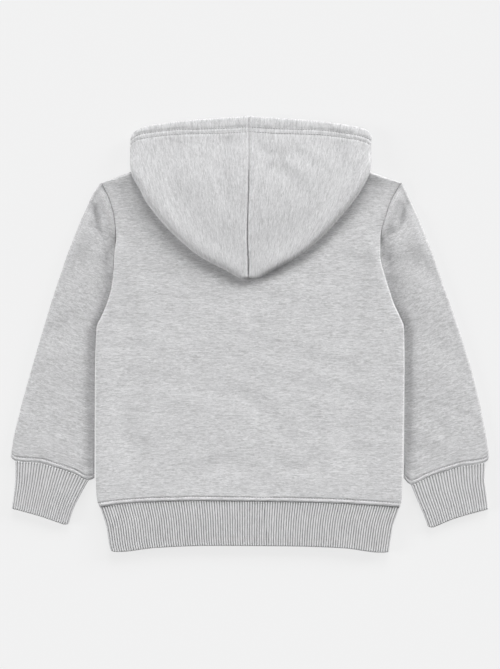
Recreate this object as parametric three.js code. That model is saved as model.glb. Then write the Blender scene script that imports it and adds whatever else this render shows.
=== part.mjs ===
// Toddler hoodie of grey marl fleece, laid face down with its hood spread over the back.
// Millimetres, +Z up from the surface it lies on, +Y to the hood, +X to the wearer's right.
import * as THREE from "three";

// Driving sizes
const FLEECE_WALL = 2.4;
const RIB_WALL = 3.0;
const CASING_WALL = 4.0;
const SEAM_GAP = 0.45;
const SHOULDER_GAP = 0.8;
const BODY_HEIGHT = 11.0;
const BODY_EDGE_ROUND = 4.6;
const SIDE_SEAM_HEIGHT = 5.4;
const ARMHOLE_DROP = 4.2;
const SEAM_DIP = 0.9;
const SEAM_DIP_REACH = 6;
const SLEEVE_HEIGHT = 8.2;
const SLEEVE_EDGE_HEIGHT = 6.6;
const SLEEVE_DROOP_REACH = 22;
const SLEEVE_TUCK = 0.6;
const SLEEVE_TUCK_REACH = 14;
const SLEEVE_LOWEST = 5.3;
const SLEEVE_EDGE_ROUND = 4;
const SLEEVE_SEAM_HEIGHT = 3.5;
const CUFF_CURVE_FADE = [1, 0.55, 0.2];
const RIB_TUBE_HEIGHT = 8.2;
const HEM_HEIGHT = 9.2;
const RIB_TUBE_ROUND = 4.2;
const RIB_RISE = 0.32;
const HEM_RIBS = 118;
const CUFF_RIBS = 27;
const RIM_DROP = 0.7;
const RIM_SLACK = 0.05;
const CUFF_LINE_STEPS = 24;
const HEM_LINE_STEPS = 32;
const HOOD_FOLD_ROUND = 1.1;
const HOOD_SEAM_GROOVE = 1.0;
const HOOD_GROOVE_HALF_WIDTH = 2.6;

// Side edges of the body from the hem seam up to the shoulder points, armpits at y 6
const BODY_EDGE = [
  { y: -198.4, left: -172.2, right: 172.9 },
  { y: -187.0, left: -175.4, right: 174.8 },
  { y: -150.0, left: -176.6, right: 175.8 },
  { y: -98.0, left: -176.8, right: 176.7 },
  { y: -46.0, left: -176.7, right: 177.5 },
  { y: 6.0, left: -175.6, right: 177.3 },
  { y: 20.0, left: -170.0, right: 172.8 },
  { y: 34.0, left: -164.1, right: 166.2 },
  { y: 50.0, left: -159.2, right: 160.8 },
  { y: 70.0, left: -156.2, right: 154.6 },
  { y: 92.0, left: -155.2, right: 150.2 },
  { y: 112.0, left: -152.8, right: 150.2 },
  { y: 133.0, left: -154.8, right: 155.3 },
  { y: 154.0, left: -159.9, right: 162.0 },
  { y: 173.5, left: -169.1, right: 173.0 },
];
const ARMPIT_ROW = 5;

// Hem seam, by share of the body's width
const HEM_SEAM = [
  { share: 0.0, y: -198.4 },
  { share: 0.04, y: -196.0 },
  { share: 0.16, y: -192.6 },
  { share: 0.32, y: -191.2 },
  { share: 0.53, y: -191.9 },
  { share: 0.78, y: -193.8 },
  { share: 0.94, y: -197.0 },
  { share: 1.0, y: -198.4 },
];

// Half of the neckline, from the neck point at the shoulder seam to the centre
const NECK = [
  { x: -82.2, back: 207.0, front: 207.0 },
  { x: -75.0, back: 201.5, front: 193.0 },
  { x: -66.0, back: 196.8, front: 178.5 },
  { x: -51.0, back: 192.6, front: 167.0 },
  { x: -28.0, back: 189.6, front: 159.5 },
  { x: 0.0, back: 188.6, front: 157.0 },
];

// Rows across each sleeve from the cuff seam up to the armpit, each from its inner to its outer edge
const SLEEVE_ROW = [
  { innerY: -165.5, innerLeft: -178.2, innerRight: 177.2, outerY: -141.0, outerLeft: -274.4, outerRight: 275.6 },
  { innerY: -140.0, innerLeft: -178.0, innerRight: 177.5, outerY: -122.0, outerLeft: -271.5, outerRight: 272.8 },
  { innerY: -105.0, innerLeft: -177.9, innerRight: 177.9, outerY: -85.0, outerLeft: -262.8, outerRight: 265.8 },
  { innerY: -66.0, innerLeft: -177.8, innerRight: 178.2, outerY: -46.0, outerLeft: -252.1, outerRight: 256.4 },
  { innerY: -28.0, innerLeft: -177.4, innerRight: 178.4, outerY: -8.0, outerLeft: -241.0, outerRight: 245.0 },
  { innerY: 6.0, innerLeft: -176.1, innerRight: 177.8, outerY: 26.0, outerLeft: -230.9, outerRight: 233.6 },
];

// Outer edge of each sleeve above the armpit, a row for each row of the body's edge up to the shoulder
const SLEEVE_HEAD = [
  { y: 41.0, left: -226.2, right: 228.4 },
  { y: 56.0, left: -221.4, right: 223.0 },
  { y: 72.0, left: -215.8, right: 217.4 },
  { y: 91.0, left: -209.3, right: 210.9 },
  { y: 110.0, left: -201.9, right: 203.3 },
  { y: 126.0, left: -195.6, right: 197.2 },
  { y: 142.0, left: -188.6, right: 190.0 },
  { y: 157.0, left: -181.8, right: 182.9 },
  { y: 172.4, left: -172.2, right: 176.2 },
];

// Cuff seam from the outer to the inner edge of each sleeve
const CUFF_SEAM = [
  { leftX: -274.4, leftY: -141.0, rightX: 275.6, rightY: -141.0 },
  { leftX: -269.6, leftY: -145.2, rightX: 271.6, rightY: -146.6 },
  { leftX: -240.7, leftY: -147.7, rightX: 242.5, rightY: -151.8 },
  { leftX: -220.9, leftY: -153.3, rightX: 222.5, rightY: -157.9 },
  { leftX: -201.1, leftY: -159.9, rightX: 202.9, rightY: -165.1 },
  { leftX: -184.0, leftY: -167.8, rightX: 184.6, rightY: -172.6 },
  { leftX: -178.2, leftY: -165.5, rightX: 177.2, rightY: -165.5 },
];

// Side edges of each cuff, from its open end up to the cuff seam
const CUFF_EDGE = [
  { outLX: -273.6, outLY: -200.4, inLX: -207.2, inLY: -218.2, outRX: 274.9, outRY: -201.0, inRX: 204.4, inRY: -221.6 },
  { outLX: -271.6, outLY: -186.0, inLX: -201.6, inLY: -201.4, outRX: 273.0, outRY: -185.0, inRX: 198.6, inRY: -206.1 },
  { outLX: -269.7, outLY: -166.0, inLX: -193.4, inLY: -185.0, outRX: 270.9, outRY: -166.0, inRX: 191.0, inRY: -188.8 },
  { outLX: -269.6, outLY: -145.7, inLX: -184.0, inLY: -168.3, outRX: 271.6, outRY: -147.1, inRX: 184.6, inRY: -173.1 },
];

// Open end of each cuff, from the outer to the inner edge
const CUFF_END = [
  { leftX: -273.6, leftY: -200.4, rightX: 274.9, rightY: -201.0 },
  { leftX: -241.0, leftY: -209.4, rightX: 236.0, rightY: -212.0 },
  { leftX: -212.0, leftY: -219.0, rightX: 209.6, rightY: -222.3 },
  { leftX: -207.2, leftY: -218.2, rightX: 204.4, rightY: -221.6 },
];

// Side edges of the hem band from its open end up to the hem seam
const HEM_EDGE = [
  { leftX: -159.6, leftY: -249.4, rightX: 160.6, rightY: -250.2 },
  { leftX: -161.7, leftY: -242.1, rightX: 161.9, rightY: -242.0 },
  { leftX: -165.1, leftY: -221.0, rightX: 165.4, rightY: -221.0 },
  { leftX: -172.2, leftY: -198.9, rightX: 172.9, rightY: -198.9 },
];

// Open end of the hem band, by share of its width
const HEM_END = [
  { share: 0.0, y: -249.4 },
  { share: 0.03, y: -250.2 },
  { share: 0.16, y: -245.6 },
  { share: 0.36, y: -243.2 },
  { share: 0.6, y: -243.6 },
  { share: 0.83, y: -245.8 },
  { share: 0.97, y: -251.0 },
  { share: 1.0, y: -250.2 },
];

// Rings of a hood half, from the tip of the hood to its opening. Each leaves the centre seam on the
// upper layer, turns at the fold and comes back underneath, round the via point where one is given,
// to the centre seam or the neckline. Lift is the height of its underside, crown that of its top.
const HOOD_RING = [
  { seamX: -1.3, seamY: 73.6, leftX: -1.5, leftY: 64.4, rightX: -1.1, rightY: 64.4, endX: 0, endY: 73.6, lift: 11.4, crown: 19.2 },
  { seamX: -1.3, seamY: 82.8, leftX: -7.3, leftY: 62.6, rightX: 7.9, rightY: 63.2, endX: 0, endY: 84.0, lift: 11.4, crown: 20.4 },
  { seamX: -1.8, seamY: 94.3, leftX: -28.2, leftY: 73.4, rightX: 24.4, rightY: 71.8, endX: 0, endY: 96.6, lift: 11.4, crown: 21.0 },
  { seamX: -2.3, seamY: 105.8, leftX: -57.7, leftY: 89.2, rightX: 55.0, rightY: 88.0, endX: 0, endY: 109.3, lift: 11.4, crown: 21.0 },
  { seamX: -2.3, seamY: 118.5, leftX: -78.3, leftY: 105.8, rightX: 86.0, rightY: 113.9, endX: 0, endY: 123.1, lift: 11.4, crown: 21.0 },
  { seamX: -2.0, seamY: 132.3, leftX: -98.8, leftY: 126.2, rightX: 106.4, rightY: 136.4, endX: 0, endY: 138.0, lift: 11.4, crown: 21.0 },
  { seamX: -1.6, seamY: 147.2, leftX: -119.4, leftY: 153.0, rightX: 122.9, rightY: 157.0, endX: 0, endY: 154.1, lift: 11.4, crown: 21.0 },
  { seamX: -1.2, seamY: 161.0, leftX: -126.0, leftY: 166.1, rightX: 130.4, rightY: 168.4, endX: 0, endY: 171.0, lift: 11.4, crown: 21.0 },
  { seamX: -0.9, seamY: 173.6, leftX: -133.7, leftY: 179.4, rightX: 135.2, rightY: 177.7, endX: 0, endY: 188.0, lift: 11.4, crown: 21.0 },
  { seamX: -0.8, seamY: 180.6, leftX: -135.2, leftY: 183.6, rightX: 137.0, rightY: 182.4, endX: -38.0, endY: 190.6, lift: 11.4, crown: 21.0 },
  { seamX: -0.8, seamY: 187.4, leftX: -136.0, leftY: 187.2, rightX: 138.2, rightY: 187.0, endX: -64.0, endY: 196.4, lift: 11.4, crown: 20.7 },
  { seamX: -0.7, seamY: 194.0, leftX: -136.4, leftY: 191.6, rightX: 139.2, rightY: 191.6, endX: -81.6, endY: 209.2, lift: 11.4, crown: 20.2 },
  { seamX: -0.6, seamY: 202.4, leftX: -136.8, leftY: 199.4, rightX: 139.5, rightY: 199.4, endX: -78.8, endY: 214.5, lift: 5.6, crown: 18.8 },
  { seamX: -0.6, seamY: 210.6, leftX: -136.8, leftY: 206.6, rightX: 139.6, rightY: 206.6, viaX: -75.0, viaY: 218.4, endX: -75.1, endY: 216.9, lift: 0, crown: 17.0 },
  { seamX: -0.5, seamY: 219.0, leftX: -136.8, leftY: 213.0, rightX: 139.7, rightY: 213.0, viaX: -71.0, viaY: 219.6, endX: -74.2, endY: 193.6, lift: 0, crown: 15.6 },
  { seamX: -0.5, seamY: 226.4, leftX: -136.8, leftY: 218.4, rightX: 139.7, rightY: 218.4, viaX: -65.0, viaY: 222.0, endX: -65.6, endY: 179.0, lift: 0, crown: 14.4 },
  { seamX: -0.5, seamY: 234.6, leftX: -136.6, leftY: 223.4, rightX: 139.8, rightY: 223.4, viaX: -60.0, viaY: 224.0, endX: -50.8, endY: 167.5, lift: 0, crown: 13.7 },
  { seamX: -0.5, seamY: 242.0, leftX: -136.0, leftY: 227.6, rightX: 140.2, rightY: 227.0, viaX: -56.0, viaY: 225.6, endX: -27.9, endY: 160.0, lift: 0, crown: 13.2 },
  { seamX: -0.5, seamY: 250.2, leftX: -134.6, leftY: 230.6, rightX: 140.2, rightY: 230.4, viaX: -52.0, viaY: 227.0, endX: -0.4, endY: 157.5, lift: 0, crown: 12.8 },
];
const CASING_RINGS = 3;
const OPENING_EDGE_BULGE = 4.6;

// Soft troughs in the cloth, each a line with a half width and a depth
const CREASES = [
  { piece: "sleeve_left", x1: -166, y1: 158, x2: -181, y2: 108, width: 11, depth: 1.1 },
  { piece: "sleeve_left", x1: -196, y1: 20, x2: -232, y2: -18, width: 12, depth: 0.5 },
  { piece: "sleeve_right", x1: 168, y1: 158, x2: 182, y2: 108, width: 11, depth: 1.1 },
  { piece: "sleeve_right", x1: 196, y1: 4, x2: 236, y2: -36, width: 12, depth: 0.5 },
  { piece: "back", x1: -140, y1: -20, x2: -96, y2: -120, width: 20, depth: 0.6 },
  { piece: "back", x1: 128, y1: 20, x2: 92, y2: -90, width: 22, depth: 0.6 },
  { piece: "hood_left", x1: -30, y1: 214, x2: -48, y2: 150, width: 12, depth: 0.7 },
  { piece: "hood_right", x1: 36, y1: 216, x2: 62, y2: 148, width: 13, depth: 0.7 },
];

const GREY_MARL = { color: 0xcacacd, roughness: 0.95, metalness: 0 };
const GREY_RIB = { color: 0xbcbcbf, roughness: 0.95, metalness: 0 };

// A line in plan, read by its share of rows so that two lines of one table keep in step
class PlanLine {
  constructor(points) {
    this.points = points.map(([x, y]) => new THREE.Vector2(x, y));
  }

  at(share) {
    const last = this.points.length - 1;
    const place = THREE.MathUtils.clamp(share, 0, 1) * last;
    const row = Math.min(Math.floor(place), last - 1);
    return this.points[row].clone().lerp(this.points[row + 1], place - row);
  }

  distanceTo(point) {
    let nearest = Infinity;
    for (let row = 0; row + 1 < this.points.length; row += 1) {
      nearest = Math.min(nearest, distanceToSegment(point, this.points[row], this.points[row + 1]));
    }
    return nearest;
  }

  shifted(dx, dy) {
    return new PlanLine(this.points.map((point) => [point.x + dx, point.y + dy]));
  }

  reversed() {
    return new PlanLine(this.points.map((point) => [point.x, point.y]).reverse());
  }

  // The same line with its points at even steps of its length
  evened(steps) {
    const lengths = this.points.map((point, row) => (row ? point.distanceTo(this.points[row - 1]) : 0));
    const runs = lengths.map((_, row) => lengths.slice(0, row + 1).reduce((sum, length) => sum + length, 0));
    return new PlanLine(Array.from({ length: steps + 1 }, (_, step) => {
      const run = (runs.at(-1) * step) / steps;
      const row = Math.max(1, runs.findIndex((value) => value >= run - 1e-6));
      const share = (run - runs[row - 1]) / lengths[row];
      const point = this.points[row - 1].clone().lerp(this.points[row], share);
      return [point.x, point.y];
    }));
  }
}

function distanceToSegment(point, start, end) {
  const along = end.clone().sub(start);
  const share = THREE.MathUtils.clamp(point.clone().sub(start).dot(along) / along.lengthSq(), 0, 1);
  return point.distanceTo(start.clone().addScaledVector(along, share));
}

// Height of a quarter ellipse over its share of the way in from the edge
function quarterRound(distance, radius) {
  const share = 1 - Math.min(distance / radius, 1);
  return Math.sqrt(1 - share * share);
}

function softTrough(piece, point) {
  let depth = 0;
  for (const crease of CREASES.filter((entry) => entry.piece === piece)) {
    const start = new THREE.Vector2(crease.x1, crease.y1);
    const end = new THREE.Vector2(crease.x2, crease.y2);
    const share = distanceToSegment(point, start, end) / crease.width;
    depth += crease.depth * Math.exp(-share * share);
  }
  return depth;
}

// A patch of cloth in plan between four edge lines
class PlanPatch {
  constructor(left, right, bottom, top) {
    this.left = left;
    this.right = right;
    this.bottom = bottom;
    this.top = top;
  }

  at(u, v) {
    const side = this.left.at(v).lerp(this.right.at(v), u);
    const low = this.bottom.at(u).sub(this.left.at(0).lerp(this.right.at(0), u));
    const high = this.top.at(u).sub(this.left.at(1).lerp(this.right.at(1), u));
    return side.addScaledVector(low, 1 - v).addScaledVector(high, v);
  }

  widthAt(v) {
    return this.left.at(v).distanceTo(this.right.at(v));
  }
}

// Unit normals of a grid of points, to +Z where columns run to +X and rows to +Y
function gridNormals(grid, closed) {
  const columns = grid[0].length;
  const normals = grid.map((line) => line.map(() => new THREE.Vector3()));
  for (let i = 0; i + 1 < grid.length; i += 1) {
    for (let j = 0; j < (closed ? columns : columns - 1); j += 1) {
      const next = (j + 1) % columns;
      const rising = grid[i + 1][next].clone().sub(grid[i][j]);
      const falling = grid[i + 1][j].clone().sub(grid[i][next]);
      const face = rising.cross(falling).normalize();
      [[i, j], [i, next], [i + 1, j], [i + 1, next]].forEach(([row, column]) => {
        normals[row][column].add(face);
      });
    }
  }
  normals.flat().forEach((normal) => normal.normalize());
  return normals;
}

function offsetGrid(grid, closed, wallAt) {
  const normals = gridNormals(grid, closed);
  return grid.map((line, i) => line.map((point, j) => (
    point.clone().addScaledVector(normals[i][j], -wallAt(i, j)))));
}

// Collects points and triangles of one closed solid
class SolidBuilder {
  constructor(mirrored) {
    this.mirrored = mirrored;
    this.positions = [];
    this.indices = [];
  }

  addGrid(grid) {
    return grid.map((line) => line.map((point) => {
      this.positions.push(point.x, point.y, point.z);
      return this.positions.length / 3 - 1;
    }));
  }

  triangle(a, b, c) {
    this.indices.push(...(this.mirrored ? [a, c, b] : [a, b, c]));
  }

  quad(a, b, c, d) {
    this.triangle(a, b, c);
    this.triangle(a, c, d);
  }

  surface(ids, closed, outward) {
    const columns = ids[0].length;
    for (let i = 0; i + 1 < ids.length; i += 1) {
      for (let j = 0; j < (closed ? columns : columns - 1); j += 1) {
        const next = (j + 1) % columns;
        const corners = [ids[i][j], ids[i][next], ids[i + 1][next], ids[i + 1][j]];
        this.quad(...(outward ? corners : corners.reverse()));
      }
    }
  }

  // Joins a ring of outer points to a ring of inner points, each with its share of the way round
  rim(outer, outerShares, inner, innerShares, atStart) {
    let a = 0;
    let b = 0;
    while (a < outer.length || b < inner.length) {
      const outerNext = a < outer.length ? (outerShares[a + 1] ?? 1) : Infinity;
      const innerNext = b < inner.length ? (innerShares[b + 1] ?? 1) : Infinity;
      const outerId = outer[a % outer.length];
      const innerId = inner[b % inner.length];
      const corners = outerNext <= innerNext
        ? [innerId, outer[(a + 1) % outer.length], outerId]
        : [innerId, inner[(b + 1) % inner.length], outerId];
      this.triangle(...(atStart ? corners : corners.reverse()));
      if (outerNext <= innerNext) a += 1; else b += 1;
    }
  }

  toGeometry() {
    const geometry = new THREE.BufferGeometry();
    geometry.setAttribute("position", new THREE.Float32BufferAttribute(this.positions, 3));
    geometry.setIndex(this.indices);
    geometry.computeVertexNormals();
    return geometry;
  }
}

// A wall between two open grids of the same layout
function slabGeometry(outerGrid, innerGrid, mirrored) {
  const builder = new SolidBuilder(mirrored);
  const outer = builder.addGrid(outerGrid);
  const inner = builder.addGrid(innerGrid);
  builder.surface(outer, false, true);
  builder.surface(inner, false, false);
  const lastRow = outer.length - 1;
  const lastColumn = outer[0].length - 1;
  for (let j = 0; j < lastColumn; j += 1) {
    builder.quad(inner[0][j], inner[0][j + 1], outer[0][j + 1], outer[0][j]);
    builder.quad(outer[lastRow][j], outer[lastRow][j + 1], inner[lastRow][j + 1], inner[lastRow][j]);
  }
  for (let i = 0; i < lastRow; i += 1) {
    builder.quad(inner[i + 1][0], inner[i][0], outer[i][0], outer[i + 1][0]);
    builder.quad(inner[i][lastColumn], inner[i + 1][lastColumn], outer[i + 1][lastColumn], outer[i][lastColumn]);
  }
  return builder.toGeometry();
}

// A tube wall between two closed grids, open at both ends
function tubeGeometry(outerGrid, outerShares, innerGrid, innerShares) {
  const builder = new SolidBuilder(false);
  const outer = builder.addGrid(outerGrid);
  const inner = builder.addGrid(innerGrid);
  const last = outer.length - 1;
  builder.surface(outer, true, true);
  builder.surface(inner, true, false);
  builder.rim(outer[0], outerShares, inner[0], innerShares, true);
  builder.rim(outer[last], outerShares, inner[last], innerShares, false);
  return builder.toGeometry();
}

function clothMesh(name, geometry, finish) {
  const mesh = new THREE.Mesh(geometry, new THREE.MeshStandardMaterial(finish));
  mesh.name = name;
  return mesh;
}

function mirroredHalf(rows) {
  return [...rows, ...rows.slice(0, -1).reverse().map((row) => ({ ...row, x: -row.x }))];
}

const tableLine = (rows, x, y) => new PlanLine(rows.map((row) => [row[x], row[y]]));

function readShare(rows, share) {
  const next = Math.max(1, rows.findIndex((row) => row.share >= share - 1e-9));
  const from = rows[next - 1];
  const to = rows[next];
  return THREE.MathUtils.mapLinear(share, from.share, to.share, from.y, to.y);
}

// Steps in from a rounded edge, finer where the cloth turns down
const EDGE_STEPS = [0, 22, 45, 68].map((angle) => 1 - Math.cos(THREE.MathUtils.degToRad(angle)));

function buildBodyPanel(name) {
  const isBack = name === "back";
  const left = tableLine(BODY_EDGE, "left", "y");
  const right = tableLine(BODY_EDGE, "right", "y");
  const shoulders = [BODY_EDGE.at(-1).left, BODY_EDGE.at(-1).right];
  const shoulderY = BODY_EDGE.at(-1).y;
  const shareOf = (x) => (x - shoulders[0]) / (shoulders[1] - shoulders[0]);
  const neck = mirroredHalf(NECK).map((row) => ({ x: row.x, y: isBack ? row.back : row.front }));

  const topY = (u) => {
    const line = [{ x: shoulders[0], y: shoulderY }, ...neck, { x: shoulders[1], y: shoulderY }];
    return readShare(line.map((row) => ({ share: shareOf(row.x), y: row.y })), u);
  };
  const width = shoulders[1] - shoulders[0];
  const edge = EDGE_STEPS.map((step) => (step * BODY_EDGE_ROUND) / width);
  const edgeFull = BODY_EDGE_ROUND / width;
  const plain = [0.04, 0.09, 0.14, 0.2];
  const half = [...edge, edgeFull, ...plain, ...neck.slice(0, NECK.length).map((row) => shareOf(row.x))];
  const columns = [...half, ...neck.slice(NECK.length).map((row) => shareOf(row.x)),
    ...plain.map((u) => 1 - u).reverse(), 1 - edgeFull, ...edge.map((u) => 1 - u).reverse()];

  const rowShare = 1 / (BODY_EDGE.length - 1);
  const topRowHeight = BODY_EDGE.at(-1).y - BODY_EDGE.at(-2).y;
  const nearTop = [...EDGE_STEPS.slice(1), 1].map((step) => (
    1 - (step * BODY_EDGE_ROUND * rowShare) / topRowHeight)).reverse();
  const rows = [...BODY_EDGE.slice(0, -1).map((_, row) => row * rowShare), ...nearTop, 1];
  rows.splice(1, 0, 0.3 * rowShare);

  const at = (u, v) => {
    const base = left.at(v).lerp(right.at(v), u);
    const hem = readShare(HEM_SEAM, u) - BODY_EDGE[0].y;
    const top = topY(u) - shoulderY;
    return base.add(new THREE.Vector2(0, hem * (1 - v) ** 3 + top * v ** 2));
  };

  const shoulderLine = (sign) => new PlanLine([
    [sign < 0 ? shoulders[0] : shoulders[1], shoulderY], [sign * -NECK[0].x, NECK[0].back]]);
  const folds = [
    new PlanLine(left.points.slice(0, ARMPIT_ROW + 1).map((p) => [p.x, p.y])),
    new PlanLine(right.points.slice(0, ARMPIT_ROW + 1).map((p) => [p.x, p.y])),
    shoulderLine(-1),
    shoulderLine(1),
  ];
  const seams = [
    new PlanLine(left.points.slice(ARMPIT_ROW).map((p) => [p.x, p.y])),
    new PlanLine(right.points.slice(ARMPIT_ROW).map((p) => [p.x, p.y])),
  ];
  const turn = SIDE_SEAM_HEIGHT - SEAM_GAP / 2;

  const outer = rows.map((v) => columns.map((u) => {
    const plan = at(u, v);
    const nearFold = Math.min(...folds.map((line) => line.distanceTo(plan)));
    const rise = turn * (1 - quarterRound(nearFold, BODY_EDGE_ROUND));
    if (!isBack) return new THREE.Vector3(plan.x, plan.y, rise);
    const nearArmhole = Math.min(...seams.map((line) => line.distanceTo(plan)));
    const roll = ARMHOLE_DROP * (1 - quarterRound(nearArmhole, BODY_EDGE_ROUND));
    const dip = SEAM_DIP * Math.max(0, 1 - (plan.y - at(u, 0).y) / SEAM_DIP_REACH) ** 2;
    const drop = Math.max(rise, roll, dip, softTrough(name, plan));
    return new THREE.Vector3(plan.x, plan.y, BODY_HEIGHT - drop);
  }));

  const inner = offsetGrid(outer, false, () => (isBack ? FLEECE_WALL : -FLEECE_WALL));
  const limit = SIDE_SEAM_HEIGHT + (isBack ? SEAM_GAP / 2 : -SEAM_GAP / 2);
  inner.flat().forEach((point) => {
    point.z = isBack ? Math.max(point.z, limit) : Math.min(point.z, limit);
  });
  return clothMesh(name, slabGeometry(outer, inner, !isBack), GREY_MARL);
}

// Places round a flattened tube: over the top from its left fold to its right, then back underneath
function tubePlaces(topShares, baseShares, foldSteps) {
  const turn = foldSteps.map((step) => ({ step }));
  const top = [
    ...turn.map(({ step }) => ({ step, from: "left" })),
    ...topShares.map((u) => ({ u })),
    ...turn.slice(1).reverse().map(({ step }) => ({ step, from: "right" })),
  ].map((place) => ({ ...place, upper: true }));
  const base = [
    ...turn.map(({ step }) => ({ step, from: "right" })),
    ...baseShares.map((u) => ({ u })).reverse(),
    ...turn.slice(1).reverse().map(({ step }) => ({ step, from: "left" })),
  ].map((place) => ({ ...place, upper: false }));
  return [...top, ...base];
}

function placeShare(place, patch, v, round) {
  if (place.u !== undefined) return place.u;
  const share = (place.step * round) / patch.widthAt(v);
  return place.from === "left" ? share : 1 - share;
}

function tubeGrid(patch, rows, places, round, topHeight) {
  return rows.map((v) => places.map((place) => {
    const u = placeShare(place, patch, v, round);
    const plan = patch.at(u, v);
    const near = Math.min(patch.left.distanceTo(plan), patch.right.distanceTo(plan));
    const top = topHeight(plan, near, u, v);
    const swell = quarterRound(near, round);
    const z = place.upper ? (top / 2) * (1 + swell) : (top / 2) * (1 - swell);
    return new THREE.Vector3(plan.x, plan.y, z);
  }));
}

// Share of the way round for each place, taken at the tube's first row
function roundShares(grid) {
  const ring = grid[0];
  const lengths = ring.map((point, j) => (j ? point.distanceTo(ring[j - 1]) : 0));
  const total = lengths.reduce((sum, length) => sum + length, 0) + ring[0].distanceTo(ring.at(-1));
  let run = 0;
  return lengths.map((length) => {
    run += length;
    return run / total;
  });
}

// Rows of a sleeve from its cuff to its shoulder end; above the armpit they start at the armhole seam
function sleeveRows(side) {
  const key = side === "left" ? "Left" : "Right";
  const sign = side === "left" ? -1 : 1;
  const gapAt = (index) => sign * (index === SLEEVE_HEAD.length - 1 ? SHOULDER_GAP : SEAM_GAP);
  const low = SLEEVE_ROW.map((row) => ({
    inner: new THREE.Vector2(row[`inner${key}`], row.innerY),
    outer: new THREE.Vector2(row[`outer${key}`], row.outerY),
  }));
  const head = SLEEVE_HEAD.map((row, index) => ({
    inner: new THREE.Vector2(
      BODY_EDGE[ARMPIT_ROW + 1 + index][side] + gapAt(index), BODY_EDGE[ARMPIT_ROW + 1 + index].y),
    outer: new THREE.Vector2(row[side], row.y),
  }));
  return [...low, ...head];
}

// How far the curved cuff seam lies past the straight first row, at the plan point's x
function cuffSeamCurve(side, first, x) {
  const line = CUFF_SEAM.map((row) => ({ share: Math.abs(row[`${side}X`]), y: row[`${side}Y`] })).reverse();
  const start = Math.abs(first.inner.x);
  const end = Math.abs(first.outer.x);
  const straight = THREE.MathUtils.mapLinear(Math.abs(x), start, end, first.inner.y, first.outer.y);
  return readShare(line, THREE.MathUtils.clamp(Math.abs(x), start, end)) - straight;
}

function buildSleeve(side) {
  const name = `sleeve_${side}`;
  const rows = sleeveRows(side);
  const armpit = SLEEVE_ROW.length - 1;
  const line = (list, end) => new PlanLine(list.map((row) => [row[end].x, row[end].y]));
  const outerFold = line(rows, "outer");
  const innerFold = line(rows.slice(0, armpit + 1), "inner");
  const armhole = line(rows.slice(armpit), "inner");
  const bodySide = line(rows, "inner");
  const seamHigh = SLEEVE_SEAM_HEIGHT + SEAM_GAP / 2;
  const seamLow = SLEEVE_SEAM_HEIGHT - SEAM_GAP / 2;

  const pointAt = (row, share, index, upper) => {
    const plan = row.inner.clone().lerp(row.outer, share);
    const sample = rows[0].inner.clone().lerp(rows[0].outer, share);
    plan.y += cuffSeamCurve(side, rows[0], sample.x) * (CUFF_CURVE_FADE[index] ?? 0);
    const toOuter = outerFold.distanceTo(plan);
    const toInner = innerFold.distanceTo(plan);
    const near = Math.min(toOuter, toInner);
    const droop = (SLEEVE_HEIGHT - SLEEVE_EDGE_HEIGHT) * Math.exp(-((near / SLEEVE_DROOP_REACH) ** 2));
    const dip = SEAM_DIP * Math.max(0, 1 - armhole.distanceTo(plan) / SEAM_DIP_REACH) ** 2;
    const tuck = SLEEVE_TUCK * Math.exp(-((bodySide.distanceTo(plan) / SLEEVE_TUCK_REACH) ** 2));
    const top = Math.max(SLEEVE_HEIGHT - droop - dip - tuck - softTrough(name, plan), SLEEVE_LOWEST);
    const swell = quarterRound(near, SLEEVE_EDGE_ROUND);
    if (toOuter < toInner) {
      return new THREE.Vector3(plan.x, plan.y, (top / 2) * (upper ? 1 + swell : 1 - swell));
    }
    return new THREE.Vector3(plan.x, plan.y, upper ? seamHigh + (top - seamHigh) * swell : seamLow * (1 - swell));
  };

  const outer = rows.map((row, index) => {
    const scale = Math.min(SLEEVE_EDGE_ROUND / row.inner.distanceTo(row.outer), 0.3);
    const turn = [...EDGE_STEPS, 1].map((step) => step * scale);
    const plain = [1, 2, 3, 4, 5].map((k) => THREE.MathUtils.lerp(scale, 1 - scale, k / 6));
    const across = [...turn, ...plain, ...turn.slice().reverse().map((share) => 1 - share)];
    return [
      ...across.map((share) => pointAt(row, share, index, true)),
      ...across.slice(0, -1).reverse().map((share) => pointAt(row, share, index, false)),
    ];
  });

  const wall = side === "left" ? -FLEECE_WALL : FLEECE_WALL;
  const inner = offsetGrid(outer, false, () => wall);
  const edgeColumns = EDGE_STEPS.length + 1;
  inner.forEach((points) => points.forEach((point, column) => {
    if (column < edgeColumns) point.z = Math.max(point.z, seamHigh);
    if (column >= points.length - edgeColumns) point.z = Math.min(point.z, seamLow);
  }));
  return clothMesh(name, slabGeometry(outer, inner, side === "left"), GREY_MARL);
}

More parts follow.
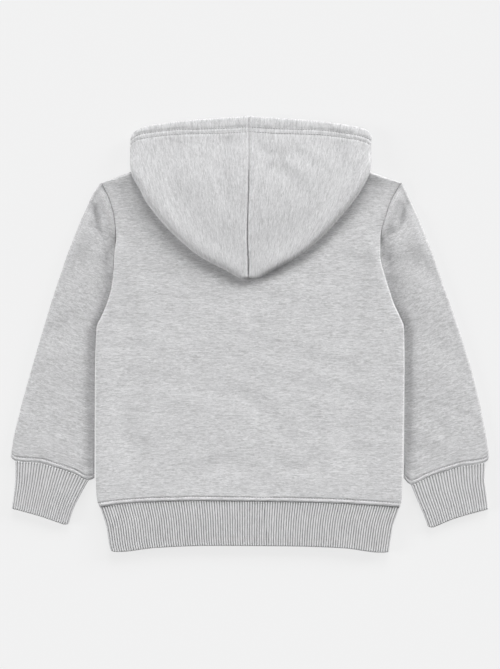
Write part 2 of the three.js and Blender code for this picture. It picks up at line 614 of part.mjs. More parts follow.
// A tube of rib knit: ridges on the side that shows, a plain inside and a flat underside
function buildRibTube(name, patch, ribs, height) {
  const steps = ribs * 2;
  const topShares = Array.from({ length: steps - 1 }, (_, k) => (k + 1) / steps);
  const baseShares = [0.12, 0.3, 0.5, 0.7, 0.88];
  const turn = [0, 0.5, 1];
  const places = [
    { u: 0, upper: true },
    ...topShares.map((u) => ({ u, upper: true })),
    { u: 1, upper: false },
    ...turn.slice(1).map((step) => ({ step, from: "right", upper: false })),
    ...baseShares.map((u) => ({ u, upper: false })).reverse(),
    ...turn.slice(1).reverse().map((step) => ({ step, from: "left", upper: false })),
  ];
  const rows = [0, 0.05, 0.5, 1];
  const rimDrop = (v) => (v === 0 ? RIM_DROP : 0);
  const outer = tubeGrid(patch, rows, places, RIB_TUBE_ROUND, (plan, near, u, v) => height - rimDrop(v));
  const normals = gridNormals(outer, true);
  outer.forEach((line, i) => line.forEach((point, j) => {
    if (j > steps) return;
    point.addScaledVector(normals[i][j], j % 2 ? 0 : -RIB_RISE * 2);
  }));

  const plainPlaces = tubePlaces([0.06, 0.12, 0.21, 0.3, 0.4, 0.5, 0.6, 0.7, 0.79, 0.88, 0.94], baseShares,
    [...EDGE_STEPS, 1]);
  const plain = tubeGrid(patch, rows, plainPlaces, RIB_TUBE_ROUND, () => height - RIB_RISE * 2);
  const inner = offsetGrid(plain, true, () => RIB_WALL - RIB_RISE * 2);
  return clothMesh(name, tubeGeometry(outer, roundShares(outer), inner, roundShares(plain)), GREY_RIB);
}

function buildCuff(side) {
  const isLeft = side === "left";
  const key = isLeft ? "L" : "R";
  const outerEdge = tableLine(CUFF_EDGE, `out${key}X`, `out${key}Y`);
  const innerEdge = tableLine(CUFF_EDGE, `in${key}X`, `in${key}Y`);
  const seam = tableLine(CUFF_SEAM.slice(1, -1), `${side}X`, `${side}Y`)
    .shifted(0, -SEAM_GAP - RIM_SLACK).evened(CUFF_LINE_STEPS);
  const end = tableLine(CUFF_END, `${side}X`, `${side}Y`).evened(CUFF_LINE_STEPS);
  const patch = isLeft
    ? new PlanPatch(outerEdge, innerEdge, end, seam)
    : new PlanPatch(innerEdge, outerEdge, end.reversed(), seam.reversed());
  return buildRibTube(`cuff_${side}`, patch, CUFF_RIBS, RIB_TUBE_HEIGHT);
}

function buildHemBand() {
  const samples = Array.from({ length: HEM_LINE_STEPS + 1 }, (_, step) => step / HEM_LINE_STEPS);
  const left = tableLine(HEM_EDGE, "leftX", "leftY");
  const right = tableLine(HEM_EDGE, "rightX", "rightY");
  const line = (rows, v, drop) => new PlanLine(samples.map((share) => [
    left.at(v).lerp(right.at(v), share).x, readShare(rows, share) - drop]));
  const patch = new PlanPatch(left, right, line(HEM_END, 0, 0), line(HEM_SEAM, 1, SEAM_GAP + RIM_SLACK));
  return buildRibTube("hem_band", patch, HEM_RIBS, HEM_HEIGHT);
}

function buildHoodHalf(side) {
  const name = `hood_${side}`;
  const sign = side === "left" ? -1 : 1;
  const folds = new PlanLine(HOOD_RING.map((ring) => [ring[`${side}X`], ring[`${side}Y`]]));
  const gap = (sign * SEAM_GAP) / 2;

  const ringPoints = (ring, row) => {
    const start = new THREE.Vector2(ring.seamX + gap, ring.seamY);
    const fold = new THREE.Vector2(ring[`${side}X`], ring[`${side}Y`]);
    if (row === 0) fold.x = start.x;
    const via = ring.viaX === undefined ? null : new THREE.Vector2(sign * -ring.viaX, ring.viaY);
    const endShift = ring.endX === 0 ? gap + ring.seamX : sign * -ring.endX;
    const end = new THREE.Vector2(ring.endX === -0.4 ? gap : endShift, ring.endY);
    const crown = ring.crown;
    const middle = (crown + ring.lift) / 2;
    const half = (crown - ring.lift) / 2;
    const round = half * HOOD_FOLD_ROUND;
    const edgeShare = Math.max(0, (row - (HOOD_RING.length - 1 - CASING_RINGS * 2)) / (CASING_RINGS * 2));
    const bulge = OPENING_EDGE_BULGE * edgeShare;

    // Share of the upper path from the seam, then of the lower path from the fold
    const reach = fold.distanceTo(start);
    const probe = fold.clone().lerp(start, 1 / reach);
    const stretch = Math.min(2.2, 1 / Math.max(folds.distanceTo(probe), 0.45));
    const turn = [...EDGE_STEPS, 1].map((step) => Math.min((step * round * stretch) / reach, 0.5));
    const groove = Math.min(HOOD_GROOVE_HALF_WIDTH / reach, 0.25);
    const plainEnd = 1 - turn.at(-1);
    const plain = [1, 2, 3, 4, 5, 6].map((k) => THREE.MathUtils.lerp(groove, plainEnd, k / 7));
    const upperShares = [0, groove, ...plain, ...turn.slice().reverse().map((share) => 1 - share)];
    const upper = upperShares.map((share) => {
      const plan = start.clone().lerp(fold, share);
      plan.y += bulge * 4 * share * (1 - share);
      const near = folds.distanceTo(plan);
      const dip = share === 0 ? HOOD_SEAM_GROOVE : softTrough(name, plan) * Math.min(1, near / 30);
      return new THREE.Vector3(plan.x, plan.y, middle + half * quarterRound(near, round) - dip);
    });

    const lowerLine = via ? [fold, via, end] : [fold, fold.clone().lerp(end, 0.5), end];
    const lowerReach = fold.distanceTo(lowerLine[1]) * 2;
    const lowerTurn = [...EDGE_STEPS.slice(1), 1].map((step) => (
      Math.min((step * round * stretch) / lowerReach, 0.4)));
    const rest = [1, 2, 3, 4, 5, 6].map((k) => THREE.MathUtils.lerp(lowerTurn.at(-1), 1, k / 6));
    const path = new PlanLine(lowerLine.map((p) => [p.x, p.y]));
    const lower = [...lowerTurn, ...rest].map((share) => {
      const plan = path.at(share);
      const near = folds.distanceTo(plan);
      return new THREE.Vector3(plan.x, plan.y, middle - half * quarterRound(near, round));
    });
    return [...upper, ...lower];
  };

  const outer = HOOD_RING.map(ringPoints);
  const wallAt = (row) => {
    const wall = row >= HOOD_RING.length - CASING_RINGS ? CASING_WALL : FLEECE_WALL;
    return side === "left" ? -wall : wall;
  };
  const inner = offsetGrid(outer, false, wallAt);
  return clothMesh(name, slabGeometry(outer, inner, side === "left"), GREY_MARL);
}

const group = new THREE.Group();
group.name = "toddler_hoodie";
group.add(
  buildBodyPanel("back"),
  buildBodyPanel("front"),
  buildSleeve("left"),
  buildSleeve("right"),
  buildCuff("left"),
  buildCuff("right"),
  buildHemBand(),
  buildHoodHalf("left"),
  buildHoodHalf("right"),
);

export default group;
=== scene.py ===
"""A toddler hoodie of pale grey marl, laid flat with its back up and its hood spread over the back."""
import logging
import math
from dataclasses import dataclass, field
from enum import Enum

import bmesh
import bpy
import numpy as np
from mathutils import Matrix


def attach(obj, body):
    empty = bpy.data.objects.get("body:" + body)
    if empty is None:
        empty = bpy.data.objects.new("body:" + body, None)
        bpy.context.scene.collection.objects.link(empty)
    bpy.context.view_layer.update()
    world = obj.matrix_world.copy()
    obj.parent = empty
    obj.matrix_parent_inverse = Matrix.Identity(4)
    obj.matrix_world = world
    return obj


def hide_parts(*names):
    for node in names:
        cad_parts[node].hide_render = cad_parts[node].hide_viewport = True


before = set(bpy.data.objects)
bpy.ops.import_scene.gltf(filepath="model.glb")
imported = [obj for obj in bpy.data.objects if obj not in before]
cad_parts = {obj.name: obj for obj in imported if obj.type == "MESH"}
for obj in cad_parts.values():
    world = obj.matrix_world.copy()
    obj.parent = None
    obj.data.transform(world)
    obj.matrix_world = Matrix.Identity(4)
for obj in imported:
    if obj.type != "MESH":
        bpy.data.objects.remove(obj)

LOG = logging.getLogger("hoodie")
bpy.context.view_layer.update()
Array = np.ndarray

# Sizes in millimetres, +X to the wearer's right, +Y to the hood, +Z up from the surface
MM = 0.001
MM_A_PIXEL = 1.15
IMAGE_HEIGHT = 669
FLEECE_WALL = 2.4
SLEEVE_WALL = 1.1
RIB_WALL = 3.0
CASING_WALL = 4.0
SEAM_GAP = 0.45
BODY_HEIGHT = 11.0
BODY_EDGE_ROUND = 1.9
SHOULDER_ROUND = 2.4
SIDE_SEAM_HEIGHT = 5.4
ARMHOLE_DROP = 6.5
ARMHOLE_TURNS = (88.0, 118.0)
ARMHOLE_GROOVE = 1.0
ARMHOLE_GROOVE_HALF_WIDTH = 0.8
SLEEVE_HEIGHT = 8.2
SLEEVE_EDGE_HEIGHT = 6.6
SLEEVE_DROOP_REACH = 22.0
SLEEVE_LOWEST = 2.6
SLEEVE_EDGE_ROUND = 2.8
SLEEVE_SEAM_HEIGHT = 1.6
SLEEVE_SEAM_HIGH = SLEEVE_SEAM_HEIGHT + SEAM_GAP / 2
SLEEVE_SEAM_LOW = SLEEVE_SEAM_HEIGHT - SEAM_GAP / 2
CUFF_CURVE_FADE = (1.0, 0.55, 0.2)
CUFF_HEIGHT = 8.2
HEM_HEIGHT = 10.2
RIB_TUBE_ROUND = 3.0
HOOD_FOLD_ROUND = 1.1
SEAM_SLANT = 0.65
SEAM_SLANT_REACH = 1.7
CASING_RINGS = 3
PRESSED_RINGS = 12
STITCH_PITCH = 3.1
STITCH_LENGTH = 2.5
THREAD_RADIUS = 0.3
TOPSTITCH_OFFSET = 4.9
CASING_DEPTH = 13.3
CASING_STITCH_APART = 5.3
CAMERA_OFFSET = 0.58
EDGE_TURNS = 8
# How far stitches lie above the cloth's face, on top and underneath
TOPSTITCH_LIFT = (0.1, 0.32)
CASING_STITCH_LIFT = (0.12, 0.3)
# Layers of soft unevenness: height, size along and across, turn in degrees, seed
BACK_WAVES = ((0.45, (110, 46), 8, 3), (0.3, (52, 15), -12, 4))
RIB_WAVE = (0.35, (40, 26), 5, 21)
CASING_WAVE = (0.3, (26, 9), 90, 47)
WAVE_SINK = 0.2
# Half width and depth of the groove that a row of stitches presses in
TOPSTITCH_GROOVE = (0.85, 0.6)
CASING_GROOVE = (0.95, 0.62)
# Raised lips beside a seam, over its turned edges: height, distance from the seam, half width
SEAM_LIP = (0.14, 2.6, 1.6)
HOOD_SEAM_LIP = (0.45, 3.4, 1.8)
# Depth and half width of the hood's centre seam
HOOD_SEAM_GROOVE = (1.5, 1.25)

# Side edges of the body from the hem seam up to the shoulder points: y, left x, right x
BODY_EDGE = np.array([
    (-198.4, -172.2, 172.9), (-187.0, -175.4, 174.8), (-150.0, -176.6, 175.8), (-98.0, -176.8, 176.7),
    (-46.0, -176.7, 177.5), (6.0, -175.6, 177.3), (20.0, -170.0, 172.8), (34.0, -164.1, 166.2),
    (50.0, -159.2, 160.8), (70.0, -156.2, 154.6), (92.0, -155.2, 150.2), (112.0, -152.8, 150.2),
    (133.0, -154.8, 155.3), (154.0, -159.9, 162.0), (173.5, -169.1, 173.0),
])
ARMPIT_ROW = 5

# Hem seam and the hem band's open end: share of the width, y
HEM_SEAM = np.array([
    (0.0, -198.4), (0.04, -196.0), (0.16, -192.6), (0.32, -191.2), (0.53, -191.9), (0.78, -193.8),
    (0.94, -197.0), (1.0, -198.4),
])
HEM_END = np.array([
    (0.0, -249.4), (0.03, -250.2), (0.16, -245.6), (0.36, -243.2), (0.6, -243.6), (0.83, -245.8),
    (0.97, -251.0), (1.0, -250.2),
])
# Side edges of the hem band from its open end up to the hem seam: left x, y, right x, y
HEM_EDGE = np.array([
    (-159.6, -249.4, 160.6, -250.2), (-161.7, -242.1, 161.9, -242.0), (-165.1, -221.0, 165.4, -221.0),
    (-172.2, -198.9, 172.9, -198.9),
])

# Half of the neckline from the shoulder seam to the centre: x, back y, front y
NECK = np.array([
    (-82.2, 207.0, 207.0), (-75.0, 201.5, 193.0), (-66.0, 196.8, 178.5), (-51.0, 192.6, 167.0),
    (-28.0, 189.6, 159.5), (0.0, 188.6, 157.0),
])

# Rows across each sleeve from the cuff seam to the armpit: inner y, left x, right x, outer y, left x, right x
SLEEVE_ROW = np.array([
    (-165.5, -178.2, 177.2, -141.0, -274.4, 275.6), (-140.0, -178.0, 177.5, -122.0, -271.5, 272.8),
    (-105.0, -177.9, 177.9, -85.0, -262.8, 265.8), (-66.0, -177.8, 178.2, -46.0, -252.1, 256.4),
    (-28.0, -177.4, 178.4, -8.0, -241.0, 245.0), (6.0, -176.1, 177.8, 26.0, -230.9, 233.6),
])
# Outer edge of each sleeve above the armpit, in step with the body's edge: y, left x, right x
SLEEVE_HEAD = np.array([
    (41.0, -226.2, 228.4), (56.0, -221.4, 223.0), (72.0, -215.8, 217.4), (91.0, -209.3, 210.9),
    (110.0, -201.9, 203.3), (126.0, -195.6, 197.2), (142.0, -188.6, 190.0), (157.0, -181.8, 182.9),
    (172.4, -172.2, 176.2),
])

# Hollow in each sleeve beside the body: y, how far its deepest line is from the seam, depth share, reach
HOLLOW = np.array([
    (-175.0, 0.0, 0.5, 9.0), (-148.0, 0.0, 0.85, 11.0), (-120.0, 0.0, 1.0, 12.0), (-60.0, 0.0, 1.0, 13.0),
    (-10.0, 0.0, 1.0, 11.5), (15.0, 0.0, 1.0, 11.0), (45.0, 0.0, 1.0, 15.0), (66.0, 0.5, 1.0, 18.0),
    (84.0, 4.0, 1.05, 18.0), (100.0, 9.0, 1.1, 16.0), (114.0, 15.0, 1.15, 12.5), (127.0, 18.5, 1.15, 10.5),
    (141.0, 18.5, 1.0, 8.0), (154.0, 15.5, 0.55, 6.0), (166.0, 12.0, 0.05, 5.0),
])
# Cuff seam and the cuff's open end from the outer to the inner edge: left x, y, right x, y
CUFF_SEAM = np.array([
    (-274.4, -141.0, 275.6, -141.0), (-269.6, -145.2, 271.6, -146.6), (-240.7, -147.7, 242.5, -151.8),
    (-220.9, -153.3, 222.5, -157.9), (-201.1, -159.9, 202.9, -165.1), (-184.0, -167.8, 184.6, -172.6),
    (-178.2, -165.5, 177.2, -165.5),
])
CUFF_END = np.array([
    (-273.6, -200.4, 274.9, -201.0), (-241.0, -209.4, 236.0, -212.0), (-212.0, -219.0, 209.6, -222.3),
    (-207.2, -218.2, 204.4, -221.6),
])
# Outer and inner edges of each cuff from its open end to the seam: left x, y, right x, y
CUFF_OUTER = np.array([
    (-273.6, -200.4, 274.9, -201.0), (-271.6, -186.0, 273.0, -185.0), (-269.7, -166.0, 270.9, -166.0),
    (-269.6, -145.7, 271.6, -147.1),
])
CUFF_INNER = np.array([
    (-207.2, -218.2, 204.4, -221.6), (-201.6, -201.4, 198.6, -206.1), (-193.4, -185.0, 191.0, -188.8),
    (-184.0, -168.3, 184.6, -173.1),
])

# Rings of a hood half from its tip to its opening: seam x, y, left fold x, y, right fold x, y
HOOD_RING = np.array([
    (-1.3, 73.6, -1.5, 64.4, -1.1, 64.4), (-1.3, 82.8, -7.3, 62.6, 7.9, 63.2),
    (-1.8, 94.3, -28.2, 73.4, 24.4, 71.8), (-2.3, 105.8, -57.7, 89.2, 55.0, 88.0),
    (-2.3, 118.5, -78.3, 105.8, 86.0, 113.9), (-2.0, 132.3, -98.8, 126.2, 106.4, 136.4),
    (-1.6, 147.2, -119.4, 153.0, 122.9, 157.0), (-1.2, 161.0, -126.0, 166.1, 130.4, 168.4),
    (-0.9, 173.6, -133.7, 179.4, 135.2, 177.7), (-0.8, 180.6, -135.2, 183.6, 137.0, 182.4),
    (-0.8, 187.4, -136.0, 187.2, 138.2, 187.0), (-0.7, 194.0, -136.4, 191.6, 139.2, 191.6),
    (-0.6, 202.4, -136.8, 199.4, 139.5, 199.4), (-0.6, 210.6, -136.8, 206.6, 139.6, 206.6),
    (-0.5, 219.0, -136.8, 213.0, 139.7, 213.0), (-0.5, 226.4, -136.8, 218.4, 139.8, 218.4),
    (-0.5, 234.6, -136.6, 222.2, 139.8, 222.0), (-0.5, 242.0, -136.0, 226.2, 140.2, 225.8),
    (-0.5, 250.2, -134.4, 229.6, 139.8, 229.2),
])
# Far end of each ring's lower layer as on the left half: x, y, underside height, top height
HOOD_END = np.array([
    (0, 73.6, 11.4, 17.0), (0, 84.0, 11.4, 18.0), (0, 96.6, 11.4, 19.0), (0, 109.3, 11.4, 19.8),
    (0, 123.1, 11.4, 20.5), (0, 138.0, 11.4, 21.0), (0, 154.1, 11.4, 21.0), (0, 171.0, 11.4, 20.9),
    (0, 188.0, 11.4, 20.5), (-38.0, 190.6, 11.4, 20.2), (-64.0, 196.4, 11.4, 19.8),
    (-81.6, 209.2, 11.4, 19.3), (-78.8, 214.5, 5.6, 18.5), (-75.1, 216.9, 0, 17.6), (-73.4, 194.1, 0, 16.8),
    (-64.9, 179.6, 0, 16.2), (-50.3, 168.4, 0, 15.7), (-27.7, 161.0, 0, 15.3), (-0.4, 158.5, 0, 15.0),
])
# How far the hood's opening edge bows out from a straight line: share of the way from seam to fold, bow
OPENING_BOW = np.array([
    (0.0, 0.0), (0.2, 2.1), (0.42, 4.4), (0.65, 6.3), (0.847, 6.3), (0.93, 4.9), (0.975, 3.0), (1.0, 0.0),
])
# Points that the last rings turn round on their lower layer, from ring 13
HOOD_VIA = np.array([
    (-75.0, 218.4), (-71.0, 219.6), (-65.0, 222.0), (-60.0, 224.0), (-56.0, 225.6), (-52.0, 227.0),
])


class Side(Enum):
    """Side of the garment as it lies, seen from above."""

    LEFT = "left"
    RIGHT = "right"

    @property
    def sign(self) -> int:
        """Sign of x on this side."""
        return -1 if self is Side.LEFT else 1


def side_columns(side: Side, table: Array, first: int = 0) -> Array:
    """A side's x and y columns in a table whose left pair starts at the first."""
    start = first + (0 if side is Side.LEFT else 2)
    return table[:, start:start + 2]


class Layer(Enum):
    """Layer of the body."""

    BACK = "back"
    FRONT = "front"


def smooth_through(places: Array, values: Array, at: Array) -> Array:
    """Reads a smooth line that passes its points without swinging past them.

    Args:
        places: rising place of each point.
        values: one row of values for each point.
        at: places to read.

    Returns:
        One row of values for each place read.
    """
    places = np.asarray(places, float)
    values = np.asarray(values, float).reshape(len(places), -1)
    at = np.clip(np.asarray(at, float), places[0], places[-1])
    step = np.diff(places)[:, None]
    rise = np.diff(values, axis=0) / step
    before, after = rise[:-1], rise[1:]
    same = before * after > 0
    near = step[:-1] + 2 * step[1:]
    far = 2 * step[:-1] + step[1:]
    safe_before = np.where(same, before, 1.0)
    safe_after = np.where(same, after, 1.0)
    slope = np.zeros_like(values)
    slope[1:-1] = np.where(same, (near + far) / (near / safe_before + far / safe_after), 0.0)
    slope[0] = rise[0]
    slope[-1] = rise[-1]
    row = np.clip(np.searchsorted(places, at, side="right") - 1, 0, len(places) - 2)
    width = step[row]
    s = ((at - places[row]) / width[:, 0])[:, None]
    low = values[row] * (1 + 2 * s) * (1 - s) ** 2 + slope[row] * width * s * (1 - s) ** 2
    high = values[row + 1] * s ** 2 * (3 - 2 * s) + slope[row + 1] * width * s ** 2 * (s - 1)
    return low + high


def by_row(values: Array, at: Array) -> Array:
    """Reads a table at places counted in its own rows."""
    return smooth_through(np.arange(len(values)), values, at)


def traced(values: Array, steps: int = 8) -> Array:
    """A table's line as many close points."""
    return by_row(values, np.linspace(0, len(values) - 1, (len(values) - 1) * steps + 1))


def distance_to(line: Array, points: Array) -> Array:
    """Shortest distance in plan from each point to a line of points.

    Args:
        line: points of the line, two values each.
        points: plan points in any layout, two values each.

    Returns:
        The distances, in the points' layout.
    """
    best = np.full(points.shape[:-1], np.inf)
    for start, end in zip(line[:-1], line[1:]):
        along = end - start
        share = np.clip(((points - start) @ along) / max(along @ along, 1e-9), 0, 1)
        best = np.minimum(best, np.linalg.norm(points - start - share[..., None] * along, axis=-1))
    return best


def quarter_round(distance: Array, radius: Array) -> Array:
    """Height share of a quarter ellipse by the distance in from its edge."""
    share = 1 - np.minimum(distance / radius, 1)
    return np.sqrt(np.maximum(1 - share * share, 0))


def bell(distance: Array, half_width: float) -> Array:
    """A soft hump, 1 in its middle."""
    return np.exp(-((distance / half_width) ** 2))


def soft_step(value: Array, low: float, high: float) -> Array:
    """Rises smoothly from 0 at low to 1 at high."""
    share = np.clip((value - low) / (high - low), 0, 1)
    return share * share * (3 - 2 * share)


def soft_noise(points: Array, size: tuple[float, float], turn: float, seed: int) -> Array:
    """Smooth random unevenness from -1 to 1.

    Args:
        points: plan points, two values each.
        size: how far apart its humps are along and across.
        turn: angle of its long way, in degrees.
        seed: number that fixes the result.

    Returns:
        One value for each point.
    """
    angle = math.radians(turn)
    along = points[..., 0] * math.cos(angle) + points[..., 1] * math.sin(angle)
    across = points[..., 1] * math.cos(angle) - points[..., 0] * math.sin(angle)
    cell = np.stack([along / size[0], across / size[1]], axis=-1)
    base = np.floor(cell).astype(int)
    part = cell - base
    part = part * part * (3 - 2 * part)
    table = np.random.default_rng(seed).uniform(-1, 1, (61, 61))
    column, row = base[..., 0] % 60, base[..., 1] % 60
    low = table[column, row] * (1 - part[..., 0]) + table[column + 1, row] * part[..., 0]
    high = table[column, row + 1] * (1 - part[..., 0]) + table[column + 1, row + 1] * part[..., 0]
    return low * (1 - part[..., 1]) + high * part[..., 1]


def waves(points: Array, *layers: tuple[float, tuple[float, float], float, int]) -> Array:
    """Soft unevenness in layers, each with a height, a size along and across, a turn and a seed."""
    return sum(height * soft_noise(points, size, turn, seed) for height, size, turn, seed in layers)


@dataclass(frozen=True)
class Crease:
    """A soft trough along a bent line, shallow at its ends, with a low ridge along one side."""

    path: tuple[tuple[float, float], ...]
    half_width: float
    depth: float
    ridge: float = 0.0

    def relief(self, points: Array) -> Array:
        """How the crease changes the height of the cloth.

        Args:
            points: plan points, two values each.

        Returns:
            Change of height at each point.
        """
        line = traced(np.array(self.path), 6)
        best = np.full(points.shape[:-1], np.inf)
        place = np.zeros(points.shape[:-1])
        hand = np.zeros(points.shape[:-1])
        count = len(line) - 1
        for index in range(count):
            along = line[index + 1] - line[index]
            offset = points - line[index]
            share = np.clip((offset @ along) / max(along @ along, 1e-9), 0, 1)
            gap = offset - share[..., None] * along
            length = np.linalg.norm(gap, axis=-1)
            nearer = length < best
            best = np.where(nearer, length, best)
            place = np.where(nearer, (index + share) / count, place)
            turned = along[0] * offset[..., 1] - along[1] * offset[..., 0]
            hand = np.where(nearer, np.sign(turned), hand)
        fade = np.sqrt(np.clip(4 * place * (1 - place), 0, 1)) * 0.75 + 0.25
        ridge = self.ridge * bell(best * hand - 1.9 * self.half_width, self.half_width * 1.1)
        return fade * (ridge - self.depth * bell(best, self.half_width))


def relief(creases: tuple[Crease, ...], points: Array) -> Array:
    """Change of height from all of a piece's creases together."""
    return sum((crease.relief(points) for crease in creases), np.zeros(points.shape[:-1]))


def seam_relief(distance: Array, depth: float) -> Array:
    """Height beside a sewn seam: sunk at the thread, raised over the turned edges under it."""
    lift, away, half_width = SEAM_LIP
    return lift * bell(distance - away, half_width) - depth * bell(distance, 1.0)


def paced(run: Array, step: float, fine: float, reach: float) -> Array:
    """Places of rows along a run, close together near both ends.

    Args:
        run: rising length at each whole place.
        step: distance between rows in the middle.
        fine: distance between rows near the ends.
        reach: how far in the close rows go.

    Returns:
        The rows' places.
    """
    total = run[-1]
    ends = np.arange(0, reach, fine)
    count = max(2, round((total - 2 * reach) / step))
    lengths = np.concatenate([ends, np.linspace(reach, total - reach, count + 1), total - ends[::-1]])
    return np.interp(lengths, run, np.arange(len(run)))


def run_of(points: Array) -> Array:
    """Length along a line of points at each of them."""
    return np.concatenate([[0.0], np.cumsum(np.linalg.norm(np.diff(points, axis=0), axis=1))])


def turn_steps(count: int) -> Array:
    """Shares of the way in from a rounded edge, closer where the cloth turns down."""
    return 1 - np.cos(np.linspace(0, np.pi / 2, count))


def unit(vectors: Array) -> Array:
    """The same directions at a length of 1."""
    return vectors / np.maximum(np.linalg.norm(vectors, axis=-1, keepdims=True), 1e-12)


def grid_normals(grid: Array, closed: bool) -> Array:
    """Finds the directions square to a surface, averaged over the faces round each point.

    Args:
        grid: the surface as rows and columns of points.
        closed: whether its columns close a ring.

    Returns:
        One unit normal for each point.
    """
    if closed:
        grid = np.concatenate([grid, grid[:, :1]], axis=1)
    face = unit(np.cross(grid[1:, 1:] - grid[:-1, :-1], grid[1:, :-1] - grid[:-1, 1:]))
    normal = np.zeros_like(grid)
    normal[:-1, :-1] += face
    normal[:-1, 1:] += face
    normal[1:, :-1] += face
    normal[1:, 1:] += face
    if closed:
        normal[:, 0] += normal[:, -1]
        normal = normal[:, :-1]
    return unit(normal)


def run_down(grid: Array) -> Array:
    """Distance of each point from its column's first row, along the column."""
    step = np.linalg.norm(np.diff(grid, axis=0), axis=-1)
    return np.concatenate([np.zeros((1, grid.shape[1])), np.cumsum(step, axis=0)])


def pulled_back(grid: Array, length: float) -> Array:
    """Draws a surface's last row back, to leave room for a rounded rim.

    Args:
        grid: the surface.
        length: how far its last row is drawn back.

    Returns:
        The shorter surface, with as many points.
    """
    run = run_down(grid)
    short = np.empty_like(grid)
    for column in range(grid.shape[1]):
        total = run[-1, column]
        places = run[:, column] * (total - length) / total
        for axis in range(3):
            short[:, column, axis] = np.interp(places, run[:, column], grid[:, column, axis])
    return short


def line_at(grid: Array, run: Array, distances: Array) -> Array:
    """Points of a grid at a distance along each column.

    Args:
        grid: the surface.
        run: distance of each of its points along the column, rising with the row.
        distances: the distance wanted in each column.

    Returns:
        One point for each column.
    """
    return np.array([
        [np.interp(distances[j], run[:, j], grid[:, j, axis]) for axis in range(3)]
        for j in range(grid.shape[1])
    ])


def linked(name: str, data: bpy.types.ID) -> bpy.types.Object:
    """Puts a new object into the scene.

    Args:
        name: its name.
        data: its mesh, light or camera.

    Returns:
        The object.
    """
    made = bpy.data.objects.new(name, data)
    bpy.context.scene.collection.objects.link(made)
    return made


@dataclass
class Wall:
    """A closed wall of cloth between an outer and an inner grid of points, in millimetres."""

    name: str
    outer: Array
    inner: Array
    cloth: Array
    closed: bool = False
    rim_steps: int = 0
    rib_place: Array | None = None

    def _angles(self) -> Array:
        """Angles of the rim's rows round the wall's last edge."""
        return np.pi * np.arange(1, self.rim_steps + 1) / (self.rim_steps + 1)

    def _rim(self) -> Array:
        """Rounds the wall's last edge.

        Returns:
            Rows of points from the outer to the inner grid, none where the wall has no rim steps.
        """
        first, last = self.outer[-1], self.inner[-1]
        middle, half = (first + last) / 2, (first - last) / 2
        ahead = unit(first - self.outer[-2]) * np.linalg.norm(half, axis=-1, keepdims=True)
        rim = [middle + half * math.cos(angle) + ahead * math.sin(angle) for angle in self._angles()]
        return np.array(rim).reshape(-1, *first.shape)

    def _rim_cloth(self) -> Array:
        """Carries the cloth coordinates on round the rim.

        Returns:
            Coordinates of the rim's rows.
        """
        step = unit(self.cloth[-1] - self.cloth[-2])
        reach = np.linalg.norm(self.outer[-1] - self.inner[-1], axis=-1, keepdims=True) / 2
        rim = [self.cloth[-1] + step * reach * angle for angle in self._angles()]
        return np.array(rim).reshape(-1, *self.cloth.shape[1:])

    def build(self) -> bpy.types.Object:
        """Makes the mesh and its cloth coordinates.

        Returns:
            The object, linked to the scene.
        """
        rows, columns = self.outer.shape[:2]
        points = np.concatenate([self.outer, self._rim(), self.inner[::-1]])
        points[..., 2] = np.maximum(points[..., 2], 0.0)
        cloth = np.concatenate([self.cloth, self._rim_cloth(), self.cloth[::-1]])
        ids = np.arange(points.shape[0] * columns).reshape(points.shape[0], columns)
        loop = np.concatenate([ids, ids[:1]])
        if self.closed:
            loop = np.concatenate([loop, loop[:, :1]], axis=1)
        quads = np.stack([loop[:-1, :-1], loop[:-1, 1:], loop[1:, 1:], loop[1:, :-1]], axis=-1)
        faces = quads.reshape(-1, 4).tolist()
        if not self.closed:
            faces += self._caps(ids, rows)
        mesh = bpy.data.meshes.new(self.name)
        mesh.from_pydata((points.reshape(-1, 3) * MM).tolist(), [], faces)
        self._face_out(mesh)
        layer = mesh.uv_layers.new(name="cloth")
        corners = np.empty(len(mesh.loops), dtype=np.int32)
        mesh.loops.foreach_get("vertex_index", corners)
        layer.data.foreach_set("uv", (cloth.reshape(-1, 2) * MM)[corners].astype(np.float32).ravel())
        if self.rib_place is not None:
            self._mark_ribs(mesh, rows, columns)
        mesh.polygons.foreach_set("use_smooth", np.ones(len(mesh.polygons), dtype=bool))
        if self.rib_place is None:
            mesh.set_sharp_from_angle(angle=math.radians(62))
        return linked(self.name, mesh)

    def _caps(self, ids: Array, rows: int) -> list[list[int]]:
        """Closes the wall along its first and last columns.

        Args:
            ids: number of each point, in rows from the outer over the rim to the inner grid.
            rows: rows of the outer grid.

        Returns:
            The points of each face.
        """
        total = len(ids)
        caps = []
        for column, turned in ((0, False), (ids.shape[1] - 1, True)):
            strip = [
                [ids[i][column], ids[i + 1][column], ids[total - 2 - i][column], ids[total - 1 - i][column]]
                for i in range(rows - 1)
            ]
            if self.rim_steps:
                strip.append([ids[i][column] for i in range(rows - 1, total - rows + 1)])
            caps += [[int(v) for v in (face[::-1] if turned else face)] for face in strip]
        return caps

    def _face_out(self, mesh: bpy.types.Mesh) -> None:
        """Turns every face outwards if the wall came out inside out.

        Args:
            mesh: the wall's mesh.
        """
        work = bmesh.new()
        work.from_mesh(mesh)
        if work.calc_volume(signed=True) < 0:
            bmesh.ops.reverse_faces(work, faces=work.faces)
        work.to_mesh(mesh)
        work.free()

    def _mark_ribs(self, mesh: bpy.types.Mesh, rows: int, columns: int) -> None:
        """Stores each point's place round the tube, and how far the ribs reach it.

        Args:
            mesh: the wall's mesh.
            rows: rows of the outer grid.
            columns: columns of the grids.
        """
        total = len(mesh.vertices) // columns
        place = np.tile(self.rib_place, total)
        reach = np.ones((total, columns))
        reach[rows + self.rim_steps:] = 0
        if self.rim_steps:
            reach[rows:rows + self.rim_steps] = np.linspace(1, 0.3, self.rim_steps)[:, None]
        reach[0] = 0.6
        for name, values in (("rib_place", place), ("rib_reach", reach.ravel())):
            attribute = mesh.attributes.new(name, "FLOAT", "POINT")
            attribute.data.foreach_set("value", values.astype(np.float32))


